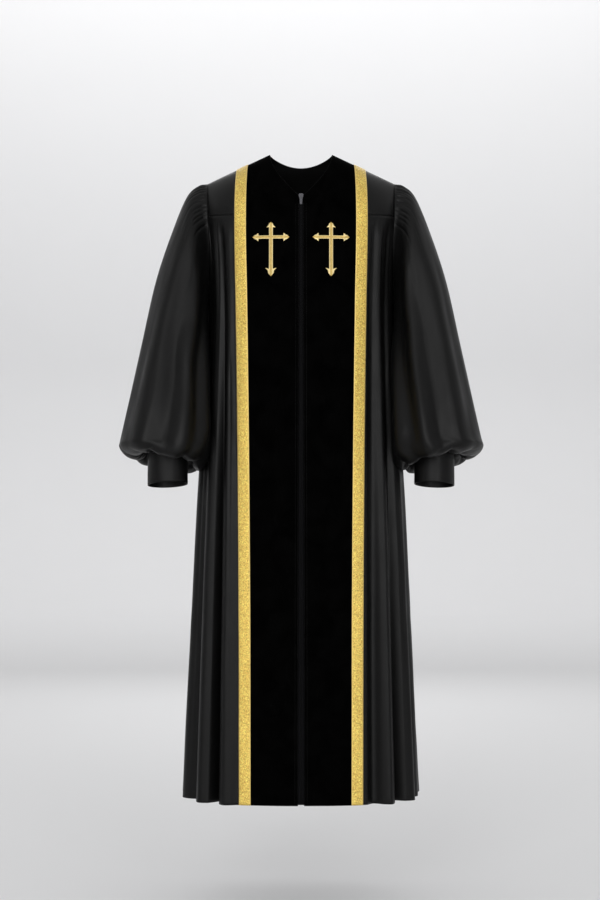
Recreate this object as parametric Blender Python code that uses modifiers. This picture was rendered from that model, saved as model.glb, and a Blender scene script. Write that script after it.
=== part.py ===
"""Clergy robe, standing open as it hangs from the shoulders: velvet fronts with gold bands and crosses,
yokes, a fluted back, bishop sleeves gathered into cuffs, and a zip with its slider and pull.

Metres, +Z up, the front faces -Y. Left and right are as worn, so the right side lies at -X.
The origin is midway between the neck ends of the two shoulder seams, where the robe is carried.
"""

import math

import bmesh
import bpy
import numpy as np
from mathutils import Matrix, Vector
from mathutils.bvhtree import BVHTree

# Overall cut
HEM_Z = -1.350
YOKE_Z = -0.137
BACK_YOKE_Z = -0.165
UNDERARM_Z = -0.320
NECK_X = 0.0655
TIP_X = 0.1965
TIP_Z = -0.0614
BACK_NECK_DEPTH = 0.056
SQUARENESS = 2.5
ARMHOLE_X = 0.1945

# Cloth and seams
CLOTH = 0.0012
VELVET = 0.0016
BROCADE = 0.0010
EMBROIDERY = 0.0014
CUFF_CLOTH = 0.0020
TAPE = 0.0010
SEAM = 0.0003
BAND_WIDTH = 0.0240
TAPE_WIDTH = 0.0280

# The hollow form of the body, a row for each level
TORSO = np.array(
    [
        (-1.350, 0.2470, 0.1650, 0.1720),
        (-1.050, 0.2340, 0.1570, 0.1620),
        (-0.730, 0.2190, 0.1500, 0.1500),
        (-0.500, 0.2050, 0.1440, 0.1390),
        (-0.320, 0.1970, 0.1380, 0.1290),
        (-0.220, 0.2010, 0.1310, 0.1200),
        (-0.137, 0.2090, 0.1200, 0.1080),
        (-0.060, 0.2150, 0.1000, 0.0900),
    ],
    dtype=[("z", float), ("half_width", float), ("front", float), ("back", float)],
)

# The front edges that run from neck to hem: the zip's opening and the bands' outer edges
FRONT_LINES = np.array(
    [
        (-1.350, 0.0062, 0.1268),
        (-0.900, 0.0055, 0.1280),
        (-0.580, 0.0048, 0.1308),
        (-0.320, 0.0044, 0.1345),
        (-0.137, 0.0042, 0.1375),
        (0.000, 0.0042, 0.1350),
    ],
    dtype=[("z", float), ("opening", float), ("band_edge", float)],
)

# The V of the front neckline, from the zip to the neck end of the shoulder seam. Foot is how far
# out the velvet's line through each point lies at the yoke's level.
NECKLINE = np.array(
    [
        (0.0042, -0.0980, 0.0042),
        (0.0200, -0.0816, 0.0180),
        (0.0325, -0.0676, 0.0310),
        (0.0500, -0.0440, 0.0450),
        (0.0600, -0.0240, 0.0580),
        (0.0640, -0.0110, 0.0700),
        (0.0655, 0.0000, 0.0820),
    ],
    dtype=[("x", float), ("z", float), ("foot", float)],
)

# Folds of the fronts. Place runs from 1 at the band to 2 at the side seam; depth is outwards at the hem.
FOLD = [("place", float), ("reach", float), ("yoke", float), ("depth", float)]
FRONT_FOLDS = {
    "right": np.array(
        [
            (1.115, 0.115, 0.0030, 0.0130),
            (1.250, 0.070, -0.0035, -0.0300),
            (1.400, 0.130, 0.0030, 0.0120),
            (1.600, 0.110, -0.0020, -0.0140),
            (1.800, 0.140, 0.0000, 0.0060),
        ],
        dtype=FOLD,
    ),
    "left": np.array(
        [
            (1.110, 0.080, -0.0030, -0.0110),
            (1.250, 0.110, 0.0035, 0.0150),
            (1.420, 0.090, -0.0030, -0.0220),
            (1.600, 0.130, 0.0020, 0.0100),
            (1.780, 0.100, 0.0000, -0.0080),
        ],
        dtype=FOLD,
    ),
}

# Flutes of the back, a row for each, from the left side seam at -1 to the right one at 1
BACK_FLUTES = np.array(
    [
        (-0.900, 0.100, 0.0000, 0.0090),
        (-0.690, 0.062, 0.0060, 0.0160),
        (-0.552, 0.060, 0.0065, 0.0120),
        (-0.414, 0.062, 0.0065, 0.0190),
        (-0.276, 0.060, 0.0065, 0.0130),
        (-0.138, 0.062, 0.0065, 0.0180),
        (0.000, 0.060, 0.0065, 0.0150),
        (0.138, 0.062, 0.0065, 0.0190),
        (0.276, 0.060, 0.0065, 0.0120),
        (0.414, 0.062, 0.0065, 0.0180),
        (0.552, 0.060, 0.0065, 0.0140),
        (0.690, 0.062, 0.0060, 0.0170),
        (0.900, 0.100, 0.0000, 0.0080),
    ],
    dtype=FOLD,
)

# The sleeve's outline as seen from the front, its middle and depth from the side, and how much
# higher its front lies than its back. Rows run from the armhole to the cuff.
SLEEVE = np.array(
    [
        (0.1965, -0.0614, 0.1970, -0.3200, 0.0000, 0.0840, 0.0000),
        (0.2165, -0.0660, 0.1990, -0.3290, -0.0020, 0.0850, 0.0000),
        (0.2415, -0.0915, 0.1960, -0.3480, -0.0070, 0.0880, 0.0000),
        (0.2720, -0.1670, 0.1920, -0.3850, -0.0160, 0.0920, 0.0000),
        (0.3045, -0.2700, 0.1890, -0.4400, -0.0320, 0.0950, 0.0000),
        (0.3320, -0.4000, 0.1870, -0.5100, -0.0540, 0.1000, 0.0000),
        (0.3560, -0.5150, 0.1860, -0.5720, -0.0720, 0.1060, 0.0060),
        (0.3740, -0.5980, 0.1860, -0.6160, -0.0790, 0.1100, 0.0140),
        (0.3785, -0.6180, 0.1920, -0.6500, -0.0800, 0.1080, 0.0180),
        (0.3670, -0.6330, 0.2090, -0.6650, -0.0800, 0.0960, 0.0180),
        (0.3450, -0.6400, 0.2225, -0.6600, -0.0800, 0.0740, 0.0140),
        (0.3280, -0.6290, 0.2290, -0.6380, -0.0800, 0.0510, 0.0060),
        (0.3178, -0.6085, 0.2362, -0.6085, -0.0800, 0.0397, 0.0000),
    ],
    dtype=[
        ("outer_x", float),
        ("outer_z", float),
        ("inner_x", float),
        ("inner_z", float),
        ("mid_y", float),
        ("half_depth", float),
        ("front_lift", float),
    ],
)
SLEEVE_END = len(SLEEVE) - 1

# Long folds of the sleeves. Angle runs from the outer edge round by the front; start and end are
# rows of the SLEEVE table, and depth is outwards at the belly.
SLEEVE_FOLD = [
    ("angle", float),
    ("reach", float),
    ("start", float),
    ("end", float),
    ("depth", float),
]
SLEEVE_FOLDS = {
    "right": np.array(
        [
            (30.0, 14.0, 1.5, 8.0, -0.0080),
            (58.0, 16.0, 1.0, 9.5, 0.0070),
            (83.0, 15.0, 0.8, 8.6, -0.0180),
            (112.0, 20.0, 1.0, 9.8, 0.0100),
            (146.0, 17.0, 0.8, 8.4, -0.0140),
            (212.0, 18.0, 2.0, 8.2, -0.0110),
            (246.0, 18.0, 1.2, 9.5, 0.0080),
            (274.0, 17.0, 1.2, 8.8, -0.0170),
            (303.0, 18.0, 1.2, 9.5, 0.0080),
            (332.0, 13.0, 1.5, 8.5, -0.0110),
        ],
        dtype=SLEEVE_FOLD,
    ),
    "left": np.array(
        [
            (35.0, 15.0, 1.2, 7.5, -0.0060),
            (56.0, 15.0, 1.0, 9.5, 0.0070),
            (79.0, 17.0, 0.8, 8.8, -0.0180),
            (106.0, 18.0, 1.0, 10.0, 0.0110),
            (130.0, 14.0, 6.0, 9.5, -0.0100),
            (152.0, 14.0, 0.8, 8.5, -0.0130),
            (216.0, 18.0, 2.0, 9.0, -0.0140),
            (250.0, 16.0, 1.2, 9.5, 0.0090),
            (282.0, 16.0, 0.8, 8.8, -0.0190),
            (310.0, 16.0, 1.2, 9.5, 0.0070),
            (337.0, 12.0, 1.5, 8.5, -0.0090),
        ],
        dtype=SLEEVE_FOLD,
    ),
}
CAP_GATHERS = 27
CAP_HALF = 90.0
CAP_DEPTH = 0.0040
CUFF_GATHERS = 18
CUFF_GATHER_DEPTH = 0.0070
SLEEVE_CLEARANCE = 0.0035
EASE_OUT = 0.0020

# Cuffs
CUFF_TOP_Z = -0.6090
CUFF_BOTTOM_Z = -0.6960
CUFF_X = 0.2770
CUFF_Y = -0.0800
CUFF_HALF_WIDTH = 0.0402
CUFF_HALF_DEPTH = 0.0390
CUFF_FLARE = 0.0015
CUFF_SLANT = 0.0020
CUFF_TILT = 0.0070

# Crosses: how far each arm reaches from the crossing, and its half width along the way
CROSS_X = 0.0618
CROSS_Z = -0.1860
CROSS_ARM = [("along", float), ("half_width", float)]
CROSS_ARMS = {
    "top": np.array(
        [(0.0200, 0.0044), (0.0222, 0.0100), (0.0262, 0.0056), (0.0310, 0.0)],
        dtype=CROSS_ARM,
    ),
    "side": np.array(
        [(0.0130, 0.0034), (0.0250, 0.0034), (0.0285, 0.0090), (0.0325, 0.0056), (0.0380, 0.0)],
        dtype=CROSS_ARM,
    ),
    "foot": np.array(
        [
            (0.0190, 0.0044),
            (0.0340, 0.0044),
            (0.0490, 0.0044),
            (0.0650, 0.0044),
            (0.0672, 0.0122),
            (0.0735, 0.0066),
            (0.0810, 0.0),
        ],
        dtype=CROSS_ARM,
    ),
}
CROSS_BAR_HALF = 0.0034
CROSS_POST_HALF = 0.0044

# Zip slider and pull, in millimetre sizes
SLIDER_Z = -0.1010
SLIDER_WIDTH = 0.0100
SLIDER_HEIGHT = 0.0120
SLIDER_PLATE = 0.0016
SLIDER_NECK_WIDTH = 0.0050
SLIDER_NECK_HEIGHT = 0.0060
BAIL_WIDTH = 0.0020
BAIL_HEIGHT = 0.0084
BAIL_STOCK = 0.0012
BAIL_CLEAR = 0.0024
PULL_STOCK = 0.0012
PULL_EYE_WIDTH = 0.0030
PULL_PLAY = 0.0006
PULL_WIDTH = 0.0062
PULL_FOOT_WIDTH = 0.0046
PULL_LENGTH = 0.0190

# Levels and stations of the panels' grids
ROWS_BELOW_YOKE = np.array([0.0, 0.09, 0.23, 0.38, 0.53, 0.67, 0.79, 0.88, 0.945, 1.0])
ROWS_OVER_SHOULDER = np.array([0.20, 0.40, 0.60, 0.80, 0.93, 1.0])
ARMHOLE_SHARES = np.sin(np.radians(np.linspace(90, 0, 9)))
SIDES = {"right": -1, "left": 1}
COLOURS = {
    "cloth": (0.012, 0.012, 0.013),
    "velvet": (0.003, 0.003, 0.004),
    "gold": (0.62, 0.42, 0.10),
    "nickel": (0.55, 0.55, 0.56),
    "tape": (0.010, 0.010, 0.011),
}
ROUGHNESS = {"cloth": 0.55, "velvet": 0.95, "gold": 0.45, "nickel": 0.30, "tape": 0.70}


def follow(table, key, column, at):
    """A smooth curve through one column of a table, read at the given places along its key column."""
    places = table[key]
    values = table[column]
    slopes = np.gradient(values, places)
    at = np.clip(at, places[0], places[-1])
    k = np.clip(np.searchsorted(places, at) - 1, 0, len(places) - 2)
    span = places[k + 1] - places[k]
    t = (at - places[k]) / span
    return (
        (2 * t**3 - 3 * t**2 + 1) * values[k]
        + (t**3 - 2 * t**2 + t) * span * slopes[k]
        + (3 * t**2 - 2 * t**3) * values[k + 1]
        + (t**3 - t**2) * span * slopes[k + 1]
    )


def ease(t):
    """0 before 0, 1 after 1, and a smooth S between."""
    t = np.clip(t, 0, 1)
    return t * t * (3 - 2 * t)


def bump(distance, reach):
    """A smooth hump of height 1 that ends at reach on both sides."""
    return np.where(np.abs(distance) < reach, 0.5 + 0.5 * np.cos(np.pi * distance / reach), 0.0)


def torso(angle, z, out=0.0):
    """A point of the hollow form at an angle from the front centre, moved out by the given distance."""
    half_width = follow(TORSO, "z", "half_width", z)
    sine, cosine = np.sin(np.radians(angle)), np.cos(np.radians(angle))
    depth = np.where(cosine > 0, follow(TORSO, "z", "front", z), follow(TORSO, "z", "back", z))
    x_share = np.sign(sine) * np.abs(sine) ** (2 / SQUARENESS)
    y_share = -np.sign(cosine) * np.abs(cosine) ** (2 / SQUARENESS)
    x_way = np.sign(x_share) * np.abs(x_share) ** (SQUARENESS - 1) / half_width
    y_way = np.sign(y_share) * np.abs(y_share) ** (SQUARENESS - 1) / depth
    length = np.hypot(x_way, y_way)
    return np.stack(
        [
            half_width * x_share + out * x_way / length,
            depth * y_share + out * y_way / length,
            z + 0 * x_share,
        ],
        axis=-1,
    )


def angle_at(x, z):
    """The angle from the front centre at which the form is this far from its middle."""
    share = np.clip(x / follow(TORSO, "z", "half_width", z), 0, 1)
    return np.degrees(np.arcsin(share ** (SQUARENESS / 2)))


def front_angle(place, z):
    """Place runs from 0 at the zip's line to 1 at the band's outer edge and 2 at the side seam."""
    edge = follow(FRONT_LINES, "z", "band_edge", z)
    edge_angle = angle_at(edge, z)
    return np.where(
        place <= 1,
        angle_at(np.minimum(place, 1) * edge, z),
        edge_angle + (90 - edge_angle) * (place - 1),
    )


YOKE_PLACE = 1 + float(
    (angle_at(ARMHOLE_X, YOKE_Z) - front_angle(1.0, YOKE_Z)) / (90 - front_angle(1.0, YOKE_Z))
)
BACK_YOKE_PLACE = float(angle_at(ARMHOLE_X, BACK_YOKE_Z)) / 90


def armhole_z(place, yoke_place, yoke_z, end_place):
    """The height of a panel's top edge: its yoke seam, then the armhole's curve down to the underarm."""
    share = np.clip((end_place - place) / (end_place - yoke_place), 0, 1)
    return UNDERARM_Z + (yoke_z - UNDERARM_Z) * (1 - np.sqrt(1 - share**2))


def folds(table, place, z, top_z):
    """How far the folds push the cloth out, growing from the panel's top edge to the hem."""
    below = top_z - z
    near, far = ease(below / 0.05), ease(below / (YOKE_Z - HEM_Z))
    total = np.zeros(np.broadcast(place, z).shape)
    for row in table:
        size = row["yoke"] * near * (1 - far) + row["depth"] * far
        total += size * bump(place - row["place"], row["reach"])
    return total


def front(side, place, z, folded=True):
    """A point of the front, from the zip to the side seam and from the hem to the yoke."""
    top_z = armhole_z(place, YOKE_PLACE, YOKE_Z, 2.0)
    out = folds(FRONT_FOLDS[side], place, z, top_z) if folded else 0.0
    points = torso(front_angle(place, z), z, out)
    return points * (SIDES[side], 1, 1)


def back(place, z, folded=True):
    """A point of the back. Place runs from 1 at the left side seam to -1 at the right one."""
    top_z = armhole_z(np.abs(place), BACK_YOKE_PLACE, BACK_YOKE_Z, 1.0)
    out = folds(BACK_FLUTES, place, z, top_z) if folded else 0.0
    return torso(180 - 90 * place, z, out)


def ridge(x):
    """The shoulder seam's line. Inside the neck it goes on a little higher, as a guide for the cut."""
    beyond = np.clip((x - NECK_X) / (TIP_X - NECK_X), 0, 1)
    inside = 1 - np.clip(x / NECK_X, 0, 1) ** 2
    z = TIP_Z * beyond + 0.004 * inside
    return np.stack([x, 0 * x, z], axis=-1)


def over_shoulder(base, top, lean, rise):
    """A curve from a yoke seam up and over to the shoulder seam, as a cubic with level ends on top."""
    up = 0.60 * (top[..., 2] - base[..., 2])
    back_off = 0.50 * base[..., 1]
    zero = 0 * up
    first = base + np.stack([zero, lean * up, up], axis=-1)
    second = top + np.stack([zero, back_off, zero - 0.002], axis=-1)
    rise = np.asarray(rise)[..., None]
    return (
        (1 - rise) ** 3 * base
        + 3 * (1 - rise) ** 2 * rise * first
        + 3 * (1 - rise) * rise**2 * second
        + rise**3 * top
    )


def front_shoulder(side, place, rise):
    """A point of the front above the yoke seam, for the velvet, the band and the front yoke."""
    base = front(side, place, YOKE_Z + 0 * place, folded=False) * (SIDES[side], 1, 1)
    edge = float(FRONT_LINES["band_edge"][-1])
    beyond = (place - 1) / (YOKE_PLACE - 1)
    x = np.where(place <= 1, place * edge, edge + (TIP_X - edge) * beyond)
    return over_shoulder(base, ridge(x), 0.08, rise) * (SIDES[side], 1, 1)


def back_shoulder(place, rise):
    """A point of the back yoke, from its seam over to the shoulder seam."""
    base = back(place, BACK_YOKE_Z + 0 * place, folded=False)
    x = base[..., 0] * (TIP_X / ARMHOLE_X)
    top = ridge(np.abs(x)) * (1, 1, 1)
    top[..., 0] = x
    return over_shoulder(base, top, -0.05, rise)


def rise_where(curve, reached):
    """How far up a curve the first of its points lies for which the test holds."""
    rises = np.linspace(0, 1, 400)
    past = reached(curve(rises))
    return float(rises[np.argmax(past)]) if past.any() else 1.0


def neckline_rise(side, place):
    """Where the V of the neckline ends a column of the velvet."""
    edge = float(FRONT_LINES["band_edge"][-1])
    if place * edge >= NECK_X - 1e-6:
        return 1.0
    return rise_where(
        lambda rises: front_shoulder(side, place + 0 * rises, rises),
        lambda points: points[:, 2] >= np.interp(np.abs(points[:, 0]), NECKLINE["x"], NECKLINE["z"]),
    )


def back_neck_rise(place):
    """Where the round of the back neck ends a column of the back yoke."""
    top_x = abs(float(back_shoulder(np.array(place), np.array(1.0))[0]))
    if top_x >= NECK_X:
        return 1.0
    stop_y = BACK_NECK_DEPTH * math.sqrt(1 - (top_x / NECK_X) ** 2)
    return rise_where(
        lambda rises: back_shoulder(place + 0 * rises, rises),
        lambda points: points[:, 1] <= stop_y,
    )


def normals(points, closed=False):
    """Unit normals of a grid of points, on the side from which its rows rise to the left of its columns."""
    if closed:
        ahead, behind = np.roll(points, -1, axis=1), np.roll(points, 1, axis=1)
        along = ahead - behind
    else:
        along = np.gradient(points, axis=1)
    normal = np.cross(along, np.gradient(points, axis=0))
    return normal / np.linalg.norm(normal, axis=2, keepdims=True)


def moved_out(points, distance):
    """The same grid, moved along its normals."""
    return points + normals(points) * distance


def material(kind):
    """The plain material of one kind of cloth or metal."""
    found = bpy.data.materials.get(kind)
    if found:
        return found
    made = bpy.data.materials.new(kind)
    made.use_nodes = True
    shader = made.node_tree.nodes["Principled BSDF"]
    shader.inputs["Base Color"].default_value = (*COLOURS[kind], 1.0)
    shader.inputs["Roughness"].default_value = ROUGHNESS[kind]
    shader.inputs["Metallic"].default_value = 1.0 if kind == "nickel" else 0.0
    return made


def add_object(name, mesh, kind):
    """Puts a mesh in the robe's collection as one named piece."""
    mesh.materials.append(material(kind))
    piece = bpy.data.objects.new(name, mesh)
    bpy.data.collections["clergy_robe"].objects.link(piece)
    return piece


def sheet(name, points, wall, kind, closed=False):
    """A wall of cloth with this grid as its outer face. Rows rise to the left of the columns."""
    rows, columns = points.shape[:2]
    index = np.arange(rows * columns).reshape(rows, columns)
    beside = np.roll(index, -1, axis=1) if closed else index[:, 1:]
    here = index if closed else index[:, :-1]
    faces = np.stack([here[:-1], beside[:-1], beside[1:], here[1:]], axis=-1).reshape(-1, 4)
    mesh = bpy.data.meshes.new(name)
    mesh.from_pydata(points.reshape(-1, 3).tolist(), [], faces.tolist())
    mesh.validate()
    mesh.shade_smooth()
    piece = add_object(name, mesh, kind)
    thickness = piece.modifiers.new("wall", "SOLIDIFY")
    thickness.thickness = wall
    thickness.offset = -1
    return piece


def seamed(points, wall, row=None, column=None):
    """Draws one edge that lies on y = 0 back along the cloth, so that its whole wall stays on its own side."""
    edge = np.s_[row, :] if column is None else np.s_[:, column]
    tilt = np.abs(normals(points)[edge][:, 1])
    inwards = np.sign(points.mean(axis=(0, 1))[1])
    points[edge][:, 1] += inwards * (SEAM / 2 + wall * tilt)
    return points


def worn(side, points):
    """Columns that run from the middle outwards, turned round on the right so that the outside faces out."""
    return points if side == "left" else points[:, ::-1]


def velvet_points(side):
    """The velvet front from the zip to the band's outer edge, from the hem to the neck and shoulder."""
    edge = float(FRONT_LINES["band_edge"][-1])
    inner = edge - BAND_WIDTH
    tops = np.append(NECKLINE["x"], [(NECK_X + inner) / 2, inner, edge - BAND_WIDTH / 2, edge])
    feet = np.append(NECKLINE["foot"], [(NECKLINE["foot"][-1] + inner) / 2, *tops[-3:]])
    z = HEM_Z + (YOKE_Z - HEM_Z) * ROWS_BELOW_YOKE
    opening, edges = (follow(FRONT_LINES, "z", name, z) for name in ("opening", "band_edge"))
    columns = []
    for top, foot in zip(tops, feet):
        if foot < inner:
            x = np.maximum(opening, foot / inner * (edges - BAND_WIDTH))
        else:
            x = edges - (edge - foot)
        low = front(side, x / edges, z, folded=False)
        rises = ROWS_OVER_SHOULDER * neckline_rise(side, top / edge)
        begin = x[-1] / edges[-1]
        high = front_shoulder(side, begin + (top / edge - begin) * ROWS_OVER_SHOULDER, rises)
        columns.append(np.concatenate([low, high]))
    points = np.stack(columns, axis=1)
    over = len(NECKLINE) - 1
    points[:, over:] = seamed(points[:, over:], VELVET, row=-1)
    return points


def front_panel_points(side):
    """The front below the yoke, from the band to the side seam, with its armhole cut in."""
    yoke_places = np.linspace(1, YOKE_PLACE, 12)
    places = np.append(yoke_places, 2 - (2 - YOKE_PLACE) * ARMHOLE_SHARES[1:])
    top_z = armhole_z(places, YOKE_PLACE, YOKE_Z, 2.0) - SEAM
    z = HEM_Z + np.outer(ROWS_BELOW_YOKE, top_z - HEM_Z)
    points = front(side, np.broadcast_to(places, z.shape), z)
    points[:, 0, 0] += SIDES[side] * SEAM
    return seamed(points, CLOTH, column=-1)


def front_yoke_points(side):
    """The shoulder piece between the band, the yoke seam, the armhole and the shoulder seam."""
    places = np.linspace(1, YOKE_PLACE, 7)
    rises = np.append(0.0, ROWS_OVER_SHOULDER)
    grid_place, grid_rise = np.meshgrid(places, rises)
    points = front_shoulder(side, grid_place, grid_rise)
    points[:, 0, 0] += SIDES[side] * SEAM
    return seamed(points, CLOTH, row=-1)


def back_panel_points():
    """The back below its yoke, from side seam to side seam, fluted."""
    step = 0.138 / 6
    flutes = np.arange(-BACK_YOKE_PLACE, BACK_YOKE_PLACE, step)
    inner = np.linspace(-BACK_YOKE_PLACE, BACK_YOKE_PLACE, len(flutes) + 1)
    outer = 1 - (1 - BACK_YOKE_PLACE) * ARMHOLE_SHARES[1:]
    places = np.concatenate([outer[::-1], inner[::-1], -outer])
    top_z = armhole_z(np.abs(places), BACK_YOKE_PLACE, BACK_YOKE_Z, 1.0) - SEAM
    z = HEM_Z + np.outer(ROWS_BELOW_YOKE, top_z - HEM_Z)
    points = back(np.broadcast_to(places, z.shape), z)
    return seamed(seamed(points, CLOTH, column=0), CLOTH, column=-1)


def back_yoke_points():
    """The back's shoulder piece, from armhole to armhole, with the round of the neck cut in."""
    neck_place = angle_at(NECK_X * ARMHOLE_X / TIP_X, BACK_YOKE_Z) / 90
    neck = neck_place * np.sin(np.radians([0, 22, 42, 60, 74, 84, 90]))
    beyond = np.linspace(neck_place, BACK_YOKE_PLACE, 7)[1:]
    half = np.append(neck, beyond)
    places = np.concatenate([half[::-1], -half[1:]])
    columns = []
    for place in places:
        rises = np.append(0.0, ROWS_OVER_SHOULDER) * back_neck_rise(place)
        columns.append(back_shoulder(place + 0 * rises, rises))
    points = np.stack(columns, axis=1)
    for beyond_neck in (points[:, : len(beyond) + 1], points[:, -len(beyond) - 1 :]):
        seamed(beyond_neck, CLOTH, row=-1)
    return points


def armhole(angles):
    """Points of the left armhole, at angles from its top round by the front."""
    rises = np.append(ROWS_OVER_SHOULDER[::-1], 0.0)
    front_place = 2 - (2 - YOKE_PLACE) * ARMHOLE_SHARES[1:]
    back_place = 1 - (1 - BACK_YOKE_PLACE) * ARMHOLE_SHARES[1:]
    front_z = armhole_z(front_place, YOKE_PLACE, YOKE_Z, 2.0)
    back_z = armhole_z(back_place, BACK_YOKE_PLACE, BACK_YOKE_Z, 1.0)
    front_half = np.concatenate(
        [
            front_shoulder("left", YOKE_PLACE + 0 * rises, rises),
            front("left", front_place, front_z, folded=False),
        ]
    )
    back_half = np.concatenate(
        [
            back_shoulder(BACK_YOKE_PLACE + 0 * rises, rises),
            back(back_place, back_z, folded=False),
        ]
    )
    found = np.zeros((len(angles), 3))
    for half, share in ((front_half, angles / 180), (back_half, (360 - angles) / 180)):
        steps = np.append(0, np.cumsum(np.linalg.norm(np.diff(half, axis=0), axis=1)))
        chosen = (share >= 0) & (share <= 1)
        for k in range(3):
            found[chosen, k] = np.interp(share[chosen] * steps[-1], steps, half[:, k])
    return found


def sleeve_ring(angles, row):
    """A ring of the sleeve as an ellipse between its outer and inner outlines."""
    places = {name: float(follow_row(name, row)) for name in SLEEVE.dtype.names}
    outer = np.array([places["outer_x"], 0, places["outer_z"]])
    inner = np.array([places["inner_x"], 0, places["inner_z"]])
    middle = (outer + inner) / 2 + np.array([0, places["mid_y"], 0])
    across = (outer - inner) / 2
    forward = np.array([0, -places["half_depth"], 0])
    turn = np.radians(angles)[:, None]
    ring = middle + across * np.cos(turn) + forward * np.sin(turn)
    ring[:, 2] += places["front_lift"] * np.sin(turn[:, 0])
    return ring, middle


def follow_row(column, row):
    """A smooth curve through one column of the SLEEVE table, by row number."""
    numbered = np.zeros(len(SLEEVE), dtype=[("row", float), (column, float)])
    numbered["row"] = np.arange(len(SLEEVE))
    numbered[column] = SLEEVE[column]
    return follow(numbered, "row", column, row)


def apart(angles, angle):
    """The angle between two directions, from -180 to 180."""
    return (angles - angle + 180) % 360 - 180


def sleeve_relief(side, angles, row):
    """How far the gathers and long folds push the sleeve out."""
    total = np.zeros(len(angles))
    for fold in SLEEVE_FOLDS[side]:
        grown = ease((row - fold["start"]) / 4.0) * (1 - ease((row - fold["end"] + 2.0) / 2.0))
        total += fold["depth"] * grown * bump(apart(angles, fold["angle"]), fold["reach"])
    cap = ease(row / 0.8) * (1 - ease((row - 1.0) / 2.4))
    cap_wave = np.cos(np.pi * CAP_GATHERS * angles / CAP_HALF) - 1
    total += CAP_DEPTH / 2 * cap * cap_wave * (np.abs(apart(angles, 0.0)) < CAP_HALF)
    cuff = ease((row - 8.2) / 2.3)
    total += CUFF_GATHER_DEPTH / 2 * cuff * (np.cos(np.radians(CUFF_GATHERS * angles)) - 1)
    return total * (1 - ease(row - SLEEVE_END + 1))


def kept_clear(side, points):
    """Moves points that would lie in the body out of its folds, so that the sleeve hangs against it."""
    x, y, z = (points[..., k] for k in range(3))
    half_width = follow(TORSO, "z", "half_width", z)
    depth = np.where(y < 0, follow(TORSO, "z", "front", z), follow(TORSO, "z", "back", z))
    across = np.clip(1 - np.abs(y / depth) ** SQUARENESS, 0, 1) ** (1 / SQUARENESS)
    angle = angle_at(across * half_width, z)
    place = 1 + (angle - front_angle(1.0, z)) / (90 - front_angle(1.0, z))
    front_out = folds(FRONT_FOLDS[side], place, z, UNDERARM_Z + 0 * z)
    back_place = angle / 90 * (1 if side == "left" else -1)
    back_out = folds(BACK_FLUTES, back_place, z, UNDERARM_Z + 0 * z)
    out = SLEEVE_CLEARANCE + CLOTH + np.maximum(np.where(y < 0, front_out, back_out), 0)
    inside = (np.abs(y) < depth) & (z < UNDERARM_Z)
    pushed = points.copy()
    limit = across * half_width + out
    eased = (x + limit + np.hypot(x - limit, EASE_OUT)) / 2
    pushed[..., 0] = np.where(inside, eased, x)
    return pushed


def sleeve_points(side):
    """The sleeve from the armhole to the cuff, gathered at both ends."""
    cap = np.linspace(-CAP_HALF, CAP_HALF, 2 * CAP_GATHERS + 1)
    angles = np.append(cap, np.linspace(CAP_HALF, 360 - CAP_HALF, 25)[1:-1]) % 360
    opening, _ = sleeve_ring(angles, 0.0)
    shift = armhole(angles) + (SEAM * 1.5, 0, 0) - opening
    rows = np.array([0, 0.7, 1.4, 2.2, 3.3, 4.6, 6.0, 7.2, 8.2, 9.1, 10.1, 11.1, 12.0])
    grid = []
    for row in rows:
        ring, middle = sleeve_ring(angles, row)
        ring = ring + shift * (1 - ease(row / 2.5))
        grid.append(ring)
    points = np.stack(grid)
    outward = normals(points, closed=True)
    relief = np.stack([sleeve_relief(side, angles, row) for row in rows])
    points = kept_clear(side, points + outward * relief[..., None])
    if side == "right":
        points = points[:, ::-1] * (-1, 1, 1)
    return points


def cuff_points(side):
    """The cuff, a plain band that flares a little and dips on its outer side."""
    angles = np.radians(np.arange(0, 360, 15))
    rows = []
    for share in (0.0, 0.5, 1.0):
        z = CUFF_TOP_Z + (CUFF_BOTTOM_Z - CUFF_TOP_Z) * share
        x = CUFF_X + (CUFF_HALF_WIDTH + CUFF_FLARE * share) * np.cos(angles)
        y = CUFF_Y - (CUFF_HALF_DEPTH + CUFF_FLARE * share) * np.sin(angles)
        tilt = CUFF_TILT * np.sin(angles) - CUFF_SLANT * np.cos(angles)
        rows.append(np.stack([x, y, z + share * tilt], axis=1))
    points = np.stack(rows)
    if side == "right":
        points = points[:, ::-1] * (-1, 1, 1)
    return points


def cross_outline():
    """The flat cross as points and faces: a square at the crossing, and four arms of quads with pointed ends."""
    points = []
    faces = []

    def add(x, z):
        points.append((x, z))
        return len(points) - 1

    corners = [
        add(x, z)
        for x, z in (
            (-CROSS_POST_HALF, -CROSS_BAR_HALF),
            (CROSS_POST_HALF, -CROSS_BAR_HALF),
            (CROSS_POST_HALF, CROSS_BAR_HALF),
            (-CROSS_POST_HALF, CROSS_BAR_HALF),
        )
    ]
    faces.append(tuple(corners))
    arms = (
        ("top", (0, 1), corners[2], corners[3]),
        ("side", (-1, 0), corners[3], corners[0]),
        ("foot", (0, -1), corners[0], corners[1]),
        ("side", (1, 0), corners[1], corners[2]),
    )
    for name, (way_x, way_z), first, last in arms:
        for row in CROSS_ARMS[name]:
            along, half = float(row["along"]), float(row["half_width"])
            if half == 0:
                tip = add(way_x * along, way_z * along)
                faces.append((first, tip, last))
                continue
            next_first = add(way_x * along + way_z * half, way_z * along - way_x * half)
            next_last = add(way_x * along - way_z * half, way_z * along + way_x * half)
            faces.append((first, next_first, next_last, last))
            first, last = next_first, next_last
    return points, faces


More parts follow.
